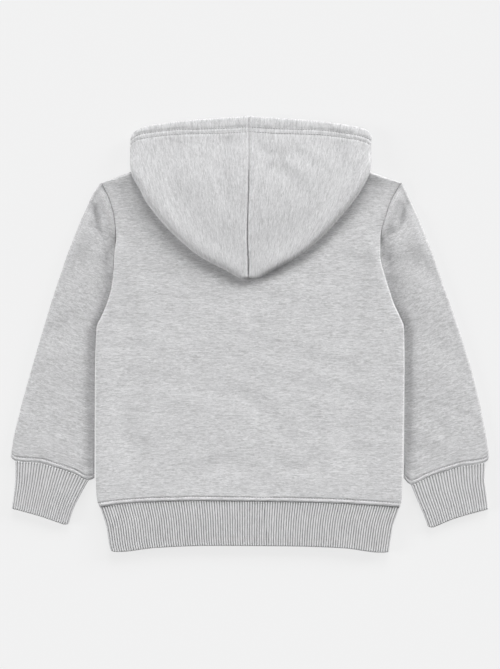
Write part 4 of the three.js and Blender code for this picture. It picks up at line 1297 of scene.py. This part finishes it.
@dataclass
class Sleeve(ClothPiece):
    """A set-in sleeve, one folded panel with an underarm seam beside the body."""

    side: Side = Side.LEFT
    step: float = 2.3
    tuck: float = 5.8
    head_puff: float = 2.4
    ripple: float = 0.7
    wave: float = 0.5
    seam_depth: float = 0.7
    columns: int = 42
    cloth_width: float = 96.0
    seam_side_share: float = 0.8
    creases: tuple[Crease, ...] = ()

    def build(self) -> None:
        """Lays the sleeve out in rows across its axis, over the top, round its outer fold and back."""
        is_left = self.side is Side.LEFT
        pick = 0 if is_left else 1
        low_inner, low_outer = SLEEVE_ROW[:, [1 + pick, 0]], SLEEVE_ROW[:, [4 + pick, 3]]
        head_outer = SLEEVE_HEAD[:, [1 + pick, 0]]
        body = BODY_EDGE[:, [1 + pick, 0]]
        outer_table = np.concatenate([low_outer, head_outer])
        inner_table = np.concatenate([low_inner, body[ARMPIT_ROW + 1:]])
        middle = (outer_table + inner_table) / 2
        rows = paced(run_of(middle), self.step, 0.7, 8.0)
        fold = by_row(outer_table, rows)
        below = by_row(low_inner, np.minimum(rows, ARMPIT_ROW))
        above = by_row(body, rows) + (self.side.sign * SEAM_GAP, 0)
        inner_edge = np.where((rows <= ARMPIT_ROW)[:, None], below, above)
        width = np.linalg.norm(fold - inner_edge, axis=1)
        scale = np.minimum(SLEEVE_EDGE_ROUND / width, 0.3)[:, None]
        turn = turn_steps(EDGE_TURNS) * scale
        level = scale + (1 - 2 * scale) * (np.arange(1, self.columns) / self.columns)
        across = np.concatenate([turn, level, 1 - turn[:, ::-1]], axis=1)
        shares = np.concatenate([across, across[:, -2::-1]], axis=1)
        upper = np.arange(shares.shape[1]) < across.shape[1]
        plan = inner_edge[:, None] + (fold - inner_edge)[:, None] * shares[..., None]
        plan[..., 1] += self._cuff_curve(low_inner[0], low_outer[0], shares) * np.interp(
            rows, range(4), CUFF_CURVE_FADE + (0,))[:, None]
        height = self._height(plan, upper, traced(outer_table), traced(low_inner),
                              by_row(body, np.linspace(ARMPIT_ROW, len(body) - 1, 70)))
        outer = np.concatenate([plan, height[..., None]], axis=-1)
        up = run_down(outer)
        outer = self.press_line(outer, np.abs(up - TOPSTITCH_OFFSET), TOPSTITCH_GROOVE, 12)
        inner = outer - outward(outer, False) * SLEEVE_WALL
        edge = EDGE_TURNS + 1
        inner[:, :edge, 2] = np.maximum(inner[:, :edge, 2], SLEEVE_SEAM_HIGH)
        inner[:, -edge:, 2] = np.minimum(inner[:, -edge:, 2], SLEEVE_SEAM_LOW)
        length = np.interp(rows, np.arange(len(middle)), run_of(middle))
        along = np.repeat(length[:, None], shares.shape[1], axis=1)
        cloth = np.stack([shares * self.cloth_width, along], axis=-1)
        self.thing = Wall(f"{self.node}_cloth", outer, inner, cloth).build()
        line = line_at(outer, up, np.full(outer.shape[1], TOPSTITCH_OFFSET))
        line[:, 2] += np.where(upper, *TOPSTITCH_LIFT)
        self.on_it.append(self.shop.sew(f"{self.node}_cuff_stitches", [line[2:-2]]))

    def _tuck(self, from_seam: Array, y: Array) -> Array:
        """How far the sleeve sinks into the hollow beside the body, steep towards the seam.

        Args:
            from_seam: distance of each point from the armhole or underarm seam.
            y: height of each point up the sleeve.

        Returns:
            Depth at each point.
        """
        place, share, reach = smooth_through(HOLLOW[:, 0], HOLLOW[:, 1:], y.ravel()).T.reshape(3, *y.shape)
        past = from_seam - place
        near = np.abs(past) / np.where(past < 0, self.seam_side_share, 1.0) / reach
        return self.tuck * share * np.exp(-near ** (1.1 + 0.9 * soft_step(place, 0, 10)))

    def _cuff_curve(self, inner: Array, outer: Array, shares: Array) -> Array:
        """Works out how far the curved cuff seam lies past a straight row.

        Args:
            inner: inner end of the row.
            outer: outer end of the row.
            shares: places along the row.

        Returns:
            Difference in y at each place.
        """
        straight = inner + (outer - inner) * shares[..., None]
        return cuff_seam_at(self.side, straight[..., 0]) - straight[..., 1]

    def _height(self, plan: Array, upper: Array, fold: Array, inner: Array, hole: Array) -> Array:
        """Works out how high the sleeve's outer face lies, on top and underneath.

        Args:
            plan: plan points of the sleeve.
            upper: which columns lie on top.
            fold: line of the outer fold.
            inner: line of the underarm seam.
            hole: line of the armhole.

        Returns:
            Height of each point over the surface.
        """
        to_fold = distance_to(fold, plan)
        to_inner = distance_to(inner, plan)
        near = np.minimum(to_fold, to_inner)
        droop = (SLEEVE_HEIGHT - SLEEVE_EDGE_HEIGHT) * bell(to_fold, SLEEVE_DROOP_REACH)
        to_hole = distance_to(hole, plan)
        to_cuff = np.linalg.norm(plan - plan[:1], axis=-1)
        seam = seam_relief(to_cuff, self.seam_depth) * (to_cuff < 12)
        groove = ARMHOLE_GROOVE * bell(to_hole, ARMHOLE_GROOVE_HALF_WIDTH)
        seam = seam - groove * soft_step(plan[..., 1], *ARMHOLE_TURNS)
        tuck = self._tuck(np.minimum(to_hole, to_inner), plan[..., 1])
        head = soft_step(plan[..., 1], 76, 112) * (1 - soft_step(plan[..., 1], 152, 170))
        puff = self.head_puff * head * soft_step(near, 1, 10) * soft_step(to_hole, 0, 6)
        sign = self.side.sign
        ripples = waves(plan, (self.ripple, (15, 4.4), 35 * sign, 8 + sign)) * tuck / self.tuck
        uneven = waves(plan, (self.wave, (46, 20), -20 * sign, 5 + sign)) - WAVE_SINK
        uneven = (uneven + relief(self.creases, plan)) * soft_step(near, 1, 12)
        top = SLEEVE_HEIGHT - droop - tuck + seam + puff + (uneven + ripples) * soft_step(to_hole, 0, 8)
        top = np.maximum(top, SLEEVE_LOWEST + 0.1 * (top - SLEEVE_LOWEST))
        swell = quarter_round(near, SLEEVE_EDGE_ROUND)
        folded = (top / 2) * np.where(upper, 1 + swell, 1 - swell)
        sewn_top = SLEEVE_SEAM_HIGH + (top - SLEEVE_SEAM_HIGH) * swell
        sewn = np.where(upper, sewn_top, SLEEVE_SEAM_LOW * (1 - swell))
        return np.where(to_fold < to_inner, folded, sewn)


@dataclass
class RibTube(ClothPiece):
    """A tube of rib knit folded double at its open end, between four edge lines in plan."""

    ribs: int = 27
    columns_a_rib: int = 8
    height: float = CUFF_HEIGHT
    rows: int = 20
    groove: float = 1.0
    roundness: float = 0.75
    sink: float = 0.25
    slot: str = "rib"

    def edges(self) -> tuple[Array, Array, Array, Array]:
        """Gives the left, right, lower and upper edge line, each as points at even shares."""
        raise NotImplementedError

    def knit(self) -> bpy.types.NodeTree:
        """The tree that presses this tube's ribs."""
        return self.shop.cuff_ribs

    def build(self) -> None:
        """Lays the tube out, builds its wall and presses its ribs in."""
        left, right, low, high = self.edges()
        count = self.ribs * self.columns_a_rib
        top = np.linspace(0, 1, count + 1)
        shares = np.concatenate([top, top[-2:0:-1]])
        upper = np.arange(len(shares)) <= count
        ends = np.array([0, 0.35, 0.8, 1.4, 2.2]) / 50
        rows = np.concatenate([ends, np.linspace(0.06, 0.985, self.rows), [1.0]])

        def along(line: Array, at: Array) -> Array:
            """Reads a line by share."""
            return by_row(line, at * (len(line) - 1))

        start, end = along(left, rows)[:, None], along(right, rows)[:, None]
        side = start + (end - start) * shares[None, :, None]
        flat_low = left[0] + (right[0] - left[0]) * shares[:, None]
        flat_high = left[-1] + (right[-1] - left[-1]) * shares[:, None]
        v = rows[:, None, None]
        plan = side + (along(low, shares) - flat_low) * (1 - v) + (along(high, shares) - flat_high) * v
        near = np.minimum(distance_to(traced(left), plan), distance_to(traced(right), plan))
        swell = quarter_round(near, RIB_TUBE_ROUND)
        uneven = waves(plan, RIB_WAVE) * soft_step(near, 2, 14)
        total = self.height - self.sink + uneven
        z = (total / 2) * np.where(upper, 1 + swell, 1 - swell)
        outer = np.concatenate([plan, z[..., None]], axis=-1)[::-1]
        outer = pulled_back(outer, RIB_WALL / 2)
        inner = outer - outward(outer, True) * RIB_WALL
        length = run_down(outer)
        seam_y = np.interp(inner[..., 0], high[:, 0], high[:, 1])
        inner[..., 1] = np.minimum(inner[..., 1], seam_y - 0.5 * length)
        cloth = np.stack([length, np.repeat(shares[None] * 100 * self.ribs / 27, len(rows), axis=0)], axis=-1)
        self.thing = Wall(f"{self.node}_knit", outer, inner, cloth, True, 4, shares).build()
        sizes = {"Ribs": float(self.ribs), "Depth": self.groove * MM, "Roundness": self.roundness}
        with_tree(self.thing, self.knit(), sizes)


@dataclass
class Cuff(RibTube):
    """Rib cuff at the end of a sleeve."""

    side: Side = Side.LEFT

    def edges(self) -> tuple[Array, Array, Array, Array]:
        """Gives the cuff's edge lines.

        Returns:
            Left, right, open end and seam, from the open end to the seam and from the lower to the higher x.
        """
        outer_edge, inner_edge = side_columns(self.side, CUFF_OUTER), side_columns(self.side, CUFF_INNER)
        seam_x = side_columns(self.side, CUFF_SEAM)[:, 0]
        across = np.linspace(seam_x[1], seam_x[-2], 61)
        seam = self._evened(np.stack([across, cuff_seam_at(self.side, across) - SEAM_GAP], axis=-1))
        end = self._evened(side_columns(self.side, CUFF_END))
        if self.side is Side.LEFT:
            return outer_edge, inner_edge, end, seam
        return inner_edge, outer_edge, end[::-1], seam[::-1]

    def _evened(self, line: Array) -> Array:
        """Spaces a line's points at even steps of its length.

        Args:
            line: the line.

        Returns:
            The same line with 25 points.
        """
        close = traced(line, 12)
        run = run_of(close)
        at = np.linspace(0, run[-1], 25)
        return np.stack([np.interp(at, run, close[:, axis]) for axis in (0, 1)], axis=-1)


@dataclass
class HemBand(RibTube):
    """Rib band round the bottom of the body."""

    ribs: int = 118
    columns_a_rib: int = 6
    height: float = HEM_HEIGHT

    def knit(self) -> bpy.types.NodeTree:
        """The tree that presses this tube's ribs."""
        return self.shop.hem_ribs

    def edges(self) -> tuple[Array, Array, Array, Array]:
        """Gives the band's edge lines.

        Returns:
            Left, right, open end and seam.
        """
        left, right = HEM_EDGE[:, :2], HEM_EDGE[:, 2:]
        shares = np.linspace(0, 1, 41)
        low = smooth_through(HEM_END[:, 0], HEM_END[:, 1], shares)[:, 0]
        high = smooth_through(HEM_SEAM[:, 0], HEM_SEAM[:, 1], shares)[:, 0] - SEAM_GAP
        low_x = left[0, 0] + (right[0, 0] - left[0, 0]) * shares
        high_x = left[-1, 0] + (right[-1, 0] - left[-1, 0]) * shares
        return left, right, np.stack([low_x, low], axis=-1), np.stack([high_x, high], axis=-1)


@dataclass
class HoodHalf(ClothPiece):
    """One half of the hood, lying on its fold, with the edge turned in at the opening."""

    side: Side = Side.LEFT
    step: float = 1.9
    fine_step: float = 0.75
    fine_reach: float = 21.0
    bow_from_ring: int = 12
    casing_rings: tuple[float, float] = (15.0, 16.5)
    casing_puff: float = 0.25
    fold_puff: float = 1.0
    tip_y: float = 64.0
    streak_lean: float = 1.03
    streak_lean_fade: float = 70.0
    creases: tuple[Crease, ...] = ()

    def build(self) -> None:
        """Lays out ring after ring from the tip to the opening, over the top and back underneath."""
        seam, fold_table = HOOD_RING[:, :2], side_columns(self.side, HOOD_RING, 2)
        run = np.maximum(run_of(seam), run_of(fold_table) * 0.8)
        rows = paced(run, self.step, self.fine_step, self.fine_reach)
        gap = self.side.sign * SEAM_GAP / 2
        start = by_row(seam, rows) + (gap, 0)
        fold = by_row(fold_table, rows)
        fold[0, 0] = start[0, 0]
        end, via, lift, crown = self._lower(rows, gap)
        folds = np.concatenate([fold[:1], traced(fold_table)[2:]])
        middle, half = (crown + lift) / 2, (crown - lift) / 2
        rounding = half * HOOD_FOLD_ROUND
        bow = np.clip((rows - self.bow_from_ring) / (CASING_RINGS * 2), 0, 1)
        grid, upper_count = [], 0
        for i in range(len(rows)):
            top = self._upper_row(start[i], fold[i], folds, rounding[i])
            low = self._lower_row(fold[i], via[i], end[i], folds, rounding[i])
            plan_top = start[i] + (fold[i] - start[i]) * top[:, None]
            plan_top[:, 1] += bow[i] * smooth_through(OPENING_BOW[:, 0], OPENING_BOW[:, 1], top)[:, 0]
            grid.append(np.concatenate([plan_top, low]))
            upper_count = len(top)
        plan = np.array(grid)
        upper = np.arange(plan.shape[1]) < upper_count
        near = distance_to(folds, plan)
        swell = quarter_round(near, rounding[:, None])
        height = middle[:, None] + half[:, None] * np.where(upper, swell, -swell)
        height += np.where(upper, self._relief(plan, near, seam, gap), 0)
        outer = np.concatenate([plan, height[..., None]], axis=-1)
        outer = pulled_back(outer, CASING_WALL / 2)
        outer, lines = self._casing(outer, upper)
        wall = FLEECE_WALL + (CASING_WALL - FLEECE_WALL) * soft_step(rows, *self.casing_rings)
        inner = outer - outward(outer, False) * wall[:, None, None]
        from_seam = np.abs(plan[..., 0] - start[:, None, 0])
        inner[..., 0] += SEAM_SLANT * np.exp(-from_seam / SEAM_SLANT_REACH) * upper
        self.thing = Wall(f"{self.node}_cloth", outer, inner, self._cloth(outer), rim_steps=5).build()
        self.on_it.append(self.shop.sew(f"{self.node}_casing_stitches", lines))

    def _lower(self, rows: Array, gap: float) -> tuple[Array, Array, Array, Array]:
        """Works out where each row's lower layer runs.

        Args:
            rows: places of the rows.
            gap: distance of the centre seam's edge from its middle.

        Returns:
            Far end, turning point, underside height and top height of each row.
        """
        sign = self.side.sign
        end_x = -sign * HOOD_END[:, 0]
        end_x = np.where(HOOD_END[:, 0] == 0, HOOD_RING[:, 0] + gap, end_x)
        end_x[-1] = gap
        ends = np.stack([end_x, HOOD_END[:, 1]], axis=-1)
        vias = (side_columns(self.side, HOOD_RING, 2) + ends) / 2
        vias[-len(HOOD_VIA):] = HOOD_VIA * (-sign, 1)
        heights = by_row(HOOD_END[:, 2:], rows)
        return by_row(ends, rows), by_row(vias, rows), heights[:, 0], heights[:, 1]

    def _turn(self, start: Array, fold: Array, folds: Array, rounding: float) -> tuple[Array, float]:
        """Works out how the cloth turns down at the fold.

        Args:
            start: where the row starts.
            fold: where it meets the fold.
            folds: line of the fold.
            rounding: radius of the turn.

        Returns:
            Distances from the fold over which the cloth turns, and the length of the row.
        """
        reach = np.linalg.norm(fold - start)
        probe = fold + (start - fold) / reach
        stretch = min(2.2, 1 / max(float(distance_to(folds, probe[None])[0]), 0.45))
        return turn_steps(10) * rounding * stretch, reach

    def _upper_row(self, start: Array, fold: Array, folds: Array, rounding: float) -> Array:
        """Spaces the points of a row's upper layer, close at both ends.

        Args:
            start: where the row starts at the centre seam.
            fold: where it meets the fold.
            folds: line of the fold.
            rounding: radius of the turn.

        Returns:
            Shares of the way from the seam to the fold.
        """
        turn, reach = self._turn(start, fold, folds, rounding)
        turn = np.minimum(turn / reach, 0.5 * np.linspace(0, 1, len(turn)) ** 2 + turn / reach * 0.5)
        beside = np.array([0, 0.35, 0.75, 1.2, 1.7, 2.3, 3.0, 3.9, 5.0, 6.3])
        beside = beside * min(1, reach * 0.3 / beside[-1]) / reach
        plain = np.linspace(beside[-1], 1 - turn[-1], 62)[1:-1]
        return np.concatenate([beside, plain, 1 - turn[::-1]])

    def _lower_row(self, fold: Array, via: Array, end: Array, folds: Array, rounding: float) -> Array:
        """Lays out the plan points of a row's lower layer.

        Args:
            fold: where the row meets the fold.
            via: where it turns.
            end: its far end.
            folds: line of the fold.
            rounding: radius of the turn.

        Returns:
            Points from just past the fold to the far end.
        """
        turn, reach = self._turn(via, fold, folds, rounding)
        turn = np.minimum(turn[1:] / reach, 0.8 * np.linspace(0, 1, len(turn))[1:])
        first = fold + (via - fold) * np.concatenate([turn, np.linspace(turn[-1], 1, 26)[1:]])[:, None]
        last = via + (end - via) * np.linspace(0, 1, 26)[1:, None]
        return np.concatenate([first, last])

    def _relief(self, plan: Array, near: Array, seam: Array, gap: float) -> Array:
        """Adds up the upper layer's seam groove with its lips, its creases and its soft unevenness.

        Args:
            plan: plan points of the half.
            near: distance of each from the fold.
            seam: line of the centre seam.
            gap: distance of the seam's edge from its middle.

        Returns:
            Change of height at each point.
        """
        tip = side_columns(self.side, HOOD_RING, 2)[0]
        centre = np.concatenate([[(seam[0, 0], tip[1])], traced(seam)]) + (gap, 0)
        to_seam = distance_to(centre, plan)
        lift, away, half_width = HOOD_SEAM_LIP
        depth, narrow = HOOD_SEAM_GROOVE
        groove = lift * bell(to_seam - away, half_width) - depth * bell(to_seam, narrow)
        sign = self.side.sign
        lean = 90 + 8 * sign
        uneven = waves(plan, (0.3, (80, 15), lean, 31 + sign), (0.14, (36, 8), lean, 35 + sign))
        uneven += relief(self.creases, plan)
        puff = self.fold_puff * bell(near - 10, 9) * soft_step(near, 0, 6) * soft_step(to_seam, 2, 16)
        puff *= 1 - soft_step(plan[..., 1], 150, 215)
        uneven = uneven * soft_step(near, 3, 22) * soft_step(to_seam, 1, 8)
        return groove * soft_step(near, 0, 5) + puff + uneven

    def _casing(self, outer: Array, upper: Array) -> tuple[Array, list[Array]]:
        """Presses the two stitch lines of the turned edge in.

        Args:
            outer: the half's outer face.
            upper: which columns lie on top.

        Returns:
            The face with its grooves, and the lines to sew.
        """
        up = run_down(outer)
        from_edge = up[-1:] - up + CASING_WALL / 2
        count = int(upper.sum())
        share = np.concatenate([np.linspace(0, 1, count), np.linspace(1, 0.4, len(upper) - count)])
        depth = CASING_DEPTH - 3.2 * soft_step(share, 0.1, 0.75) - 1.2 * soft_step(share, 0.8, 1.0)
        lines = []
        for k in (0, 1):
            offset = depth + k * CASING_STITCH_APART
            outer = self.press_line(outer, np.abs(from_edge - offset), CASING_GROOVE, 40 + k)
        puff = waves(outer[..., :2], CASING_WAVE) + self.casing_puff
        band = soft_step(from_edge, 2, 5) * (1 - soft_step(from_edge - depth, -3.5, -1))
        outer = outer + outward(outer, False) * (puff * band * np.where(upper, 1, 0))[..., None]
        for k in (0, 1):
            line = line_at(outer, up, up[-1] + CASING_WALL / 2 - depth - k * CASING_STITCH_APART)
            line[:, 2] += np.where(upper, *CASING_STITCH_LIFT)
            lines.append(line[2:-3])
        return outer, lines

    def _cloth(self, outer: Array) -> Array:
        """The cloth's own coordinates: streaks run up the hood and lean to the tip low down."""
        lean = self.streak_lean * np.exp(-(outer[..., 1] - self.tip_y) / self.streak_lean_fade)
        return np.stack([outer[..., 1], outer[..., 0] * (1 + lean)], axis=-1)


# Lights: name, height over the floor, turn from +Y towards +X, spread, strength
SUNS = (
    ("soft light from the hood end", 29.0, 6.0, 30.0, 2.1),
    ("soft light from the left", 22.0, -90.0, 24.0, 1.95),
    ("soft light from the right", 16.0, 58.0, 26.0, 2.65),
)


@dataclass
class Studio:
    """Plain pale floor, soft light from above and a camera straight over the hoodie."""

    camera_height: float = 3.0
    floor_grey: float = 0.12
    floor_glow: float = 0.765
    floor_glow_on_cloth: float = 0.2
    floor_half_width: float = 6.0
    world_glow: float = 0.165

    def build(self) -> None:
        """Makes the floor, the lights and the camera."""
        self._floor()
        for sun in SUNS:
            self._sun(*sun)
        self._camera()
        world = bpy.context.scene.world or bpy.data.worlds.new("studio")
        bpy.context.scene.world = world
        world.use_nodes = True
        background = world.node_tree.nodes["Background"]
        background.inputs["Color"].default_value = (1.0, 1.0, 1.0, 1.0)
        background.inputs["Strength"].default_value = self.world_glow
        bpy.context.scene.view_settings.view_transform = "Standard"

    def _floor(self) -> None:
        """Lays a wide plain floor just under the cloth, paler to the camera than to the cloth."""
        half, drop = self.floor_half_width, -0.0001
        mesh = bpy.data.meshes.new("floor")
        corners = [(-half, -half, drop), (half, -half, drop), (half, half, drop), (-half, half, drop)]
        mesh.from_pydata(corners, [], [(0, 1, 2, 3)])
        floor = linked("floor", mesh)
        made = MattShader("pale floor", roughness=0.9, specular=0.1)
        made.shader.inputs["Base Color"].default_value = grey(self.floor_grey)
        made.shader.inputs["Emission Color"].default_value = (1.0, 1.0, 1.0, 1.0)
        seen = made.add("ShaderNodeLightPath").outputs["Is Camera Ray"]
        glow = made.ranged(seen, 0.0, 1.0, self.floor_glow_on_cloth, self.floor_glow)
        made.tree.links.new(glow, made.shader.inputs["Emission Strength"])
        mesh.materials.append(made.material)

    def _sun(self, name: str, elevation: float, turn: float, spread: float, strength: float) -> None:
        """Adds a wide soft light, the same all over the floor.

        Args:
            name: name of the light.
            elevation: its height over the floor, in degrees.
            turn: its turn from +Y towards +X, in degrees.
            spread: how wide it shines, in degrees.
            strength: its strength.
        """
        lamp = bpy.data.lights.new(name, "SUN")
        lamp.angle = math.radians(spread)
        lamp.energy = strength
        turns = (math.radians(elevation - 90), 0.0, math.radians(-turn))
        linked(name, lamp).rotation_euler = turns

    def _camera(self) -> None:
        """Puts a long lens straight over the middle of the photo."""
        data = bpy.data.cameras.new("camera")
        data.lens = data.sensor_width * self.camera_height / (IMAGE_HEIGHT * MM_A_PIXEL * MM)
        camera = linked("camera", data)
        camera.location = (CAMERA_OFFSET * MM, -CAMERA_OFFSET * MM, self.camera_height)
        bpy.context.scene.camera = camera


BACK_CREASES = (
    Crease(((-148, 60), (-140, -10), (-146, -90), (-138, -150)), 15, 2.2, 0.5),
    Crease(((128, 90), (118, 0), (112, -80), (120, -160)), 17, 2.4, 0.4),
    Crease(((-70, -168), (-30, -148), (0, -156)), 9, 0.8, 0.3),
    Crease(((-14, -66), (22, -96), (44, -124)), 12, 0.9, 0.3),
    Crease(((26, -140), (52, -156), (84, -150)), 9, 0.7, 0.3),
)
SLEEVE_CREASES = {Side.LEFT: (
    Crease(((-168, 150), (-176, 124), (-180, 96)), 8, 1.0, 0.4),
    Crease(((-168, 84), (-178, 50), (-192, 20)), 8, 0.8, 0.3),
    Crease(((-196, 20), (-214, 4), (-232, -18)), 11, 0.6, 0.2),
    Crease(((-200, -96), (-222, -108), (-244, -112)), 10, 0.5, 0.2),
), Side.RIGHT: (
    Crease(((170, 150), (177, 124), (178, 96)), 8, 1.0, 0.4),
    Crease(((165, 84), (176, 50), (190, 22)), 8, 0.9, 0.3),
    Crease(((196, 4), (216, -14), (236, -36)), 11, 0.6, 0.2),
    Crease(((200, -90), (220, -112), (240, -124)), 10, 0.5, 0.2),
)}
HOOD_CREASES = {Side.LEFT: (
    Crease(((-26, 226), (-32, 190), (-30, 150)), 9, 1.8, 0.8),
    Crease(((-84, 222), (-92, 190), (-84, 150)), 13, 1.7, 0.7),
), Side.RIGHT: (
    Crease(((8, 216), (26, 204), (50, 204), (74, 186)), 8, 0.9, 0.5),
    Crease(((14, 192), (40, 184), (60, 158)), 10, 1.4, 0.6),
    Crease(((98, 220), (104, 190), (90, 154)), 12, 1.6, 0.6),
)}


def main() -> None:
    """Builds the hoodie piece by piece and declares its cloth."""
    logging.basicConfig(level=logging.INFO, format="%(message)s")
    shop = Workshop()
    looks = shop.finishes
    on_floor = ("floor",)
    pieces = [
        (BodyPanel(shop, "front", cut=(0.365, 0.41), cut_area=0.128, rests_on=on_floor,
                   layer=Layer.FRONT, step=4.0), looks.body),
        (BodyPanel(shop, "back", cut=(0.365, 0.42), cut_area=0.133, rests_on=("front",),
                   creases=BACK_CREASES), looks.body),
    ]
    pieces += [
        (Sleeve(shop, f"sleeve_{side.value}", cut=(0.2, 0.34), cut_area=0.045, rests_on=on_floor,
                side=side, creases=SLEEVE_CREASES[side]), looks.sleeve)
        for side in Side
    ]
    pieces += [
        (Cuff(shop, f"cuff_{side.value}", cut=(0.17, 0.055), cut_area=0.009, rests_on=on_floor,
              side=side), None)
        for side in Side
    ]
    pieces.append((HemBand(shop, "hem_band", cut=(0.68, 0.052), cut_area=0.035, rests_on=on_floor), None))
    pieces += [
        (HoodHalf(shop, f"hood_{side.value}", cut=(0.29, 0.25), cut_area=0.039, rests_on=("back", "floor"),
                  side=side, creases=HOOD_CREASES[side]), looks.hood)
        for side in Side
    ]
    Studio().build()
    for piece, material in pieces:
        piece.build()
        piece.dress(material)
    for piece, _ in pieces:
        piece.declare()


if __name__ == "__main__":
    main()
